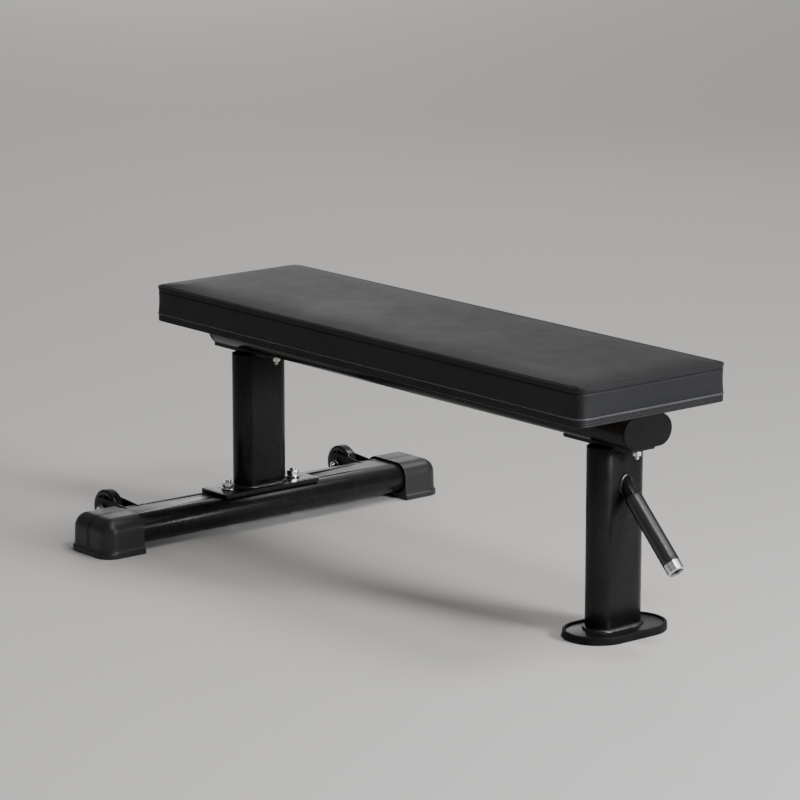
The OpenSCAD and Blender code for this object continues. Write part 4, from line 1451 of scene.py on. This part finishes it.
def makeHandle(look):
    place = handleFrame(look)[1]
    gripLow, gripHigh = boxOf("handle_grip")
    radius = (gripHigh[1] - gripLow[1]) / 2
    tubeLow, tubeHigh = boxOf("handle_tube")
    tube = (tubeHigh[1] - tubeLow[1]) / 2
    a, b, c, bore = look["bare"], look["length"] - look["collar"], look["length"], look["bore"]
    fit = tube + 0.0001
    profile = [(fit, a + 0.002), (fit, a), (radius - 0.0012, a), (radius - 0.0003, a + 0.0004),
               (radius, a + 0.0014)]
    for i in range(1, 20):
        t = i / 20
        profile.append((radius - 0.0002 * math.sin(math.pi * t), a + 0.002 + (b - a - 0.004) * t))
    profile += [(radius, b - 0.0012), (radius - 0.0003, b - 0.0003), (radius - 0.0009, b), (fit, b)]
    ring = [(tube, b), (radius - 0.0006, b), (radius - 0.0001, b + 0.0005), (radius - 0.0001, c - 0.0014),
            (radius - 0.0011, c - 0.0002), (radius - 0.0017, c), (bore + 0.0008, c), (bore, c - 0.0008),
            (bore, c - look["boreDepth"]), (tube, c - look["boreDepth"])]
    sleeve = solidOf(turned(profile, 64), looped=True)
    grip = newPiece("handleGrip", moved(sleeve, place), "grip", "handle_grip")
    smoothByAngle(grip, 40)
    band = solidOf(turned(ring, 72), looped=True)
    collar = newPiece("handleCollar", moved(band, place), "collar", "handle_collar")
    smoothByAngle(collar, 30)


makeHandle(handleLook)
print("foot, caps and handle made")

weldLook = {
    "leg": 0.005,
    "handleLeg": 0.0036,
    "ripple": 0.0024,         # from one ripple to the next
    "rippleDepth": 0.085,
    "wander": 0.10,
    "sunk": 0.0012,           # how far a bead runs into the wall
    "under": 0.0006,
    "taper": 0.004,           # length over which an open bead dies away
    "steps": 9,
}


# Bead in a corner: path has a place, the way out from the wall and the way along the wall.
def weldBead(path, look, seed, closed=True):
    rng = random.Random(seed)
    offset = Vector((rng.uniform(0, 50), rng.uniform(0, 50), rng.uniform(0, 50)))
    travelled = 0.0
    rings = []
    total = sum((Vector(path[(i + 1) % len(path)][0]) - Vector(p[0])).length for i, p in enumerate(path))
    turns, steps = round(total / look["ripple"]), look["steps"]
    for i, (place, out, rise) in enumerate(path):
        place, out, rise = Vector(place), Vector(out), Vector(rise)
        if i:
            travelled += (place - Vector(path[i - 1][0])).length
        phase = travelled / total * turns
        size = look["leg"] * (1 + look["wander"] * noise.noise(offset + place * 90))
        if not closed:
            edge = min(travelled, total - travelled)
            size *= max(0.25, math.sqrt(min(1.0, max(0.0, edge / look["taper"]))))
        ring = [place - out * look["sunk"] + rise * size]
        for k in range(steps + 1):
            a = math.pi / 2 * k / steps
            wave = abs(math.sin(math.pi * (phase - 0.35 * math.sin(a * 2)))) ** 0.7
            bulge = 0.93
            if 0 < k < steps:
                dip = look["rippleDepth"] * (1 - wave) * math.sin(2 * a) ** 0.5
                bulge = 0.80 + 0.10 * math.sin(2 * a) - dip
            ring.append(place + (out * math.sin(a) + rise * math.cos(a)) * size * bulge)
        ring.append(place + out * size - rise * look["under"])
        ring.append(place - out * look["sunk"] - rise * look["under"])
        rings.append(ring)
    return solidOf(rings, looped=closed)


# Stations round a flat-oval tube: place, outward, up.
def ovalPath(centre, width, thick, z, step):
    straight, r = (width - thick) / 2, thick / 2
    stations = []
    flat = max(4, round(2 * straight / step))
    arc = max(8, round(math.pi * r / step))
    for s in (1, -1):
        for i in range(flat):
            y = centre[1] + s * (-straight + 2 * straight * i / flat)
            stations.append(((centre[0] + s * r, y, z), (s, 0, 0), (0, 0, 1)))
        for i in range(arc):
            a = math.pi * i / arc
            out = (s * math.cos(a), s * math.sin(a), 0)
            place = (centre[0] + r * out[0], centre[1] + s * straight + r * out[1], z)
            stations.append((place, out, (0, 0, 1)))
    return stations


# Stations round the slanted hole where the handle leaves the upright's flat face.
def handlePath(step):
    start = handleFrame(handleLook)[0]
    low, high = boxOf("handle_tube")
    r = (high[1] - low[1]) / 2
    long = r / math.cos(math.radians(handleLook["angle"]))
    count = round(math.pi * (r + long) / step)
    stations = []
    for i in range(count):
        a = 2 * math.pi * i / count
        out = Vector((0, math.cos(a) / r, math.sin(a) / long)).normalized()
        stations.append(((start.x, r * math.cos(a), start.z + long * math.sin(a)), tuple(out), (1, 0, 0)))
    return stations


def makeWelds(look):
    step = look["ripple"] / 5
    for k, end in enumerate(("front", "rear")):
        low, high = boxOf(end + "_upright")
        mid = (low + high) / 2
        path = ovalPath(mid, high[1] - low[1], high[0] - low[0], low[2], step)
        newPiece(end + "BaseWeld", weldBead(path, look, 3 + k), "weld", end + "_base_weld")
        fromY, toY = (corner[1] for corner in boxOf(end + "_top_weld"))
        count = round((toY - fromY) / step)
        parts = []
        for s in (-1, 1):
            x = mid[0] + s * (high[0] - low[0]) / 2
            line = [((x, fromY + (toY - fromY) * i / count, high[2]), (s, 0, 0), (0, 0, -1))
                    for i in range(count + 1)]
            parts.append(weldBead(line, look, 20 + k + s, closed=False))
        newPiece(end + "TopWeld", joinParts(parts), "weld", end + "_top_weld")
    bead = weldBead(handlePath(step), {**look, "leg": look["handleLeg"]}, 9)
    newPiece("handleWeld", bead, "weld", "handle_weld")


makeWelds(weldLook)
print("welds made")

# bevel widths of the steel pieces and the board, which stay as the CAD has them
edgeWidths = {
    "flange_plate": 0.0012, "pad_bracket": 0.0010, "front_base_plate": 0.0014, "rear_base_plate": 0.0016,
    "fork": 0.0009, "pad_board": 0.0012,
}
tubeEdge = {"names": ("main_beam", "front_upright", "rear_upright", "rear_cross_tube"), "width": 0.0006}
for part, width in edgeWidths.items():
    for name in nodes:
        if name.endswith(part):
            bevelNode(name, width)
for name in tubeEdge["names"]:
    bevelNode(name, tubeEdge["width"], 2)
for obj in nodes.values():
    smoothByAngle(obj, 28)
print("edges rounded")
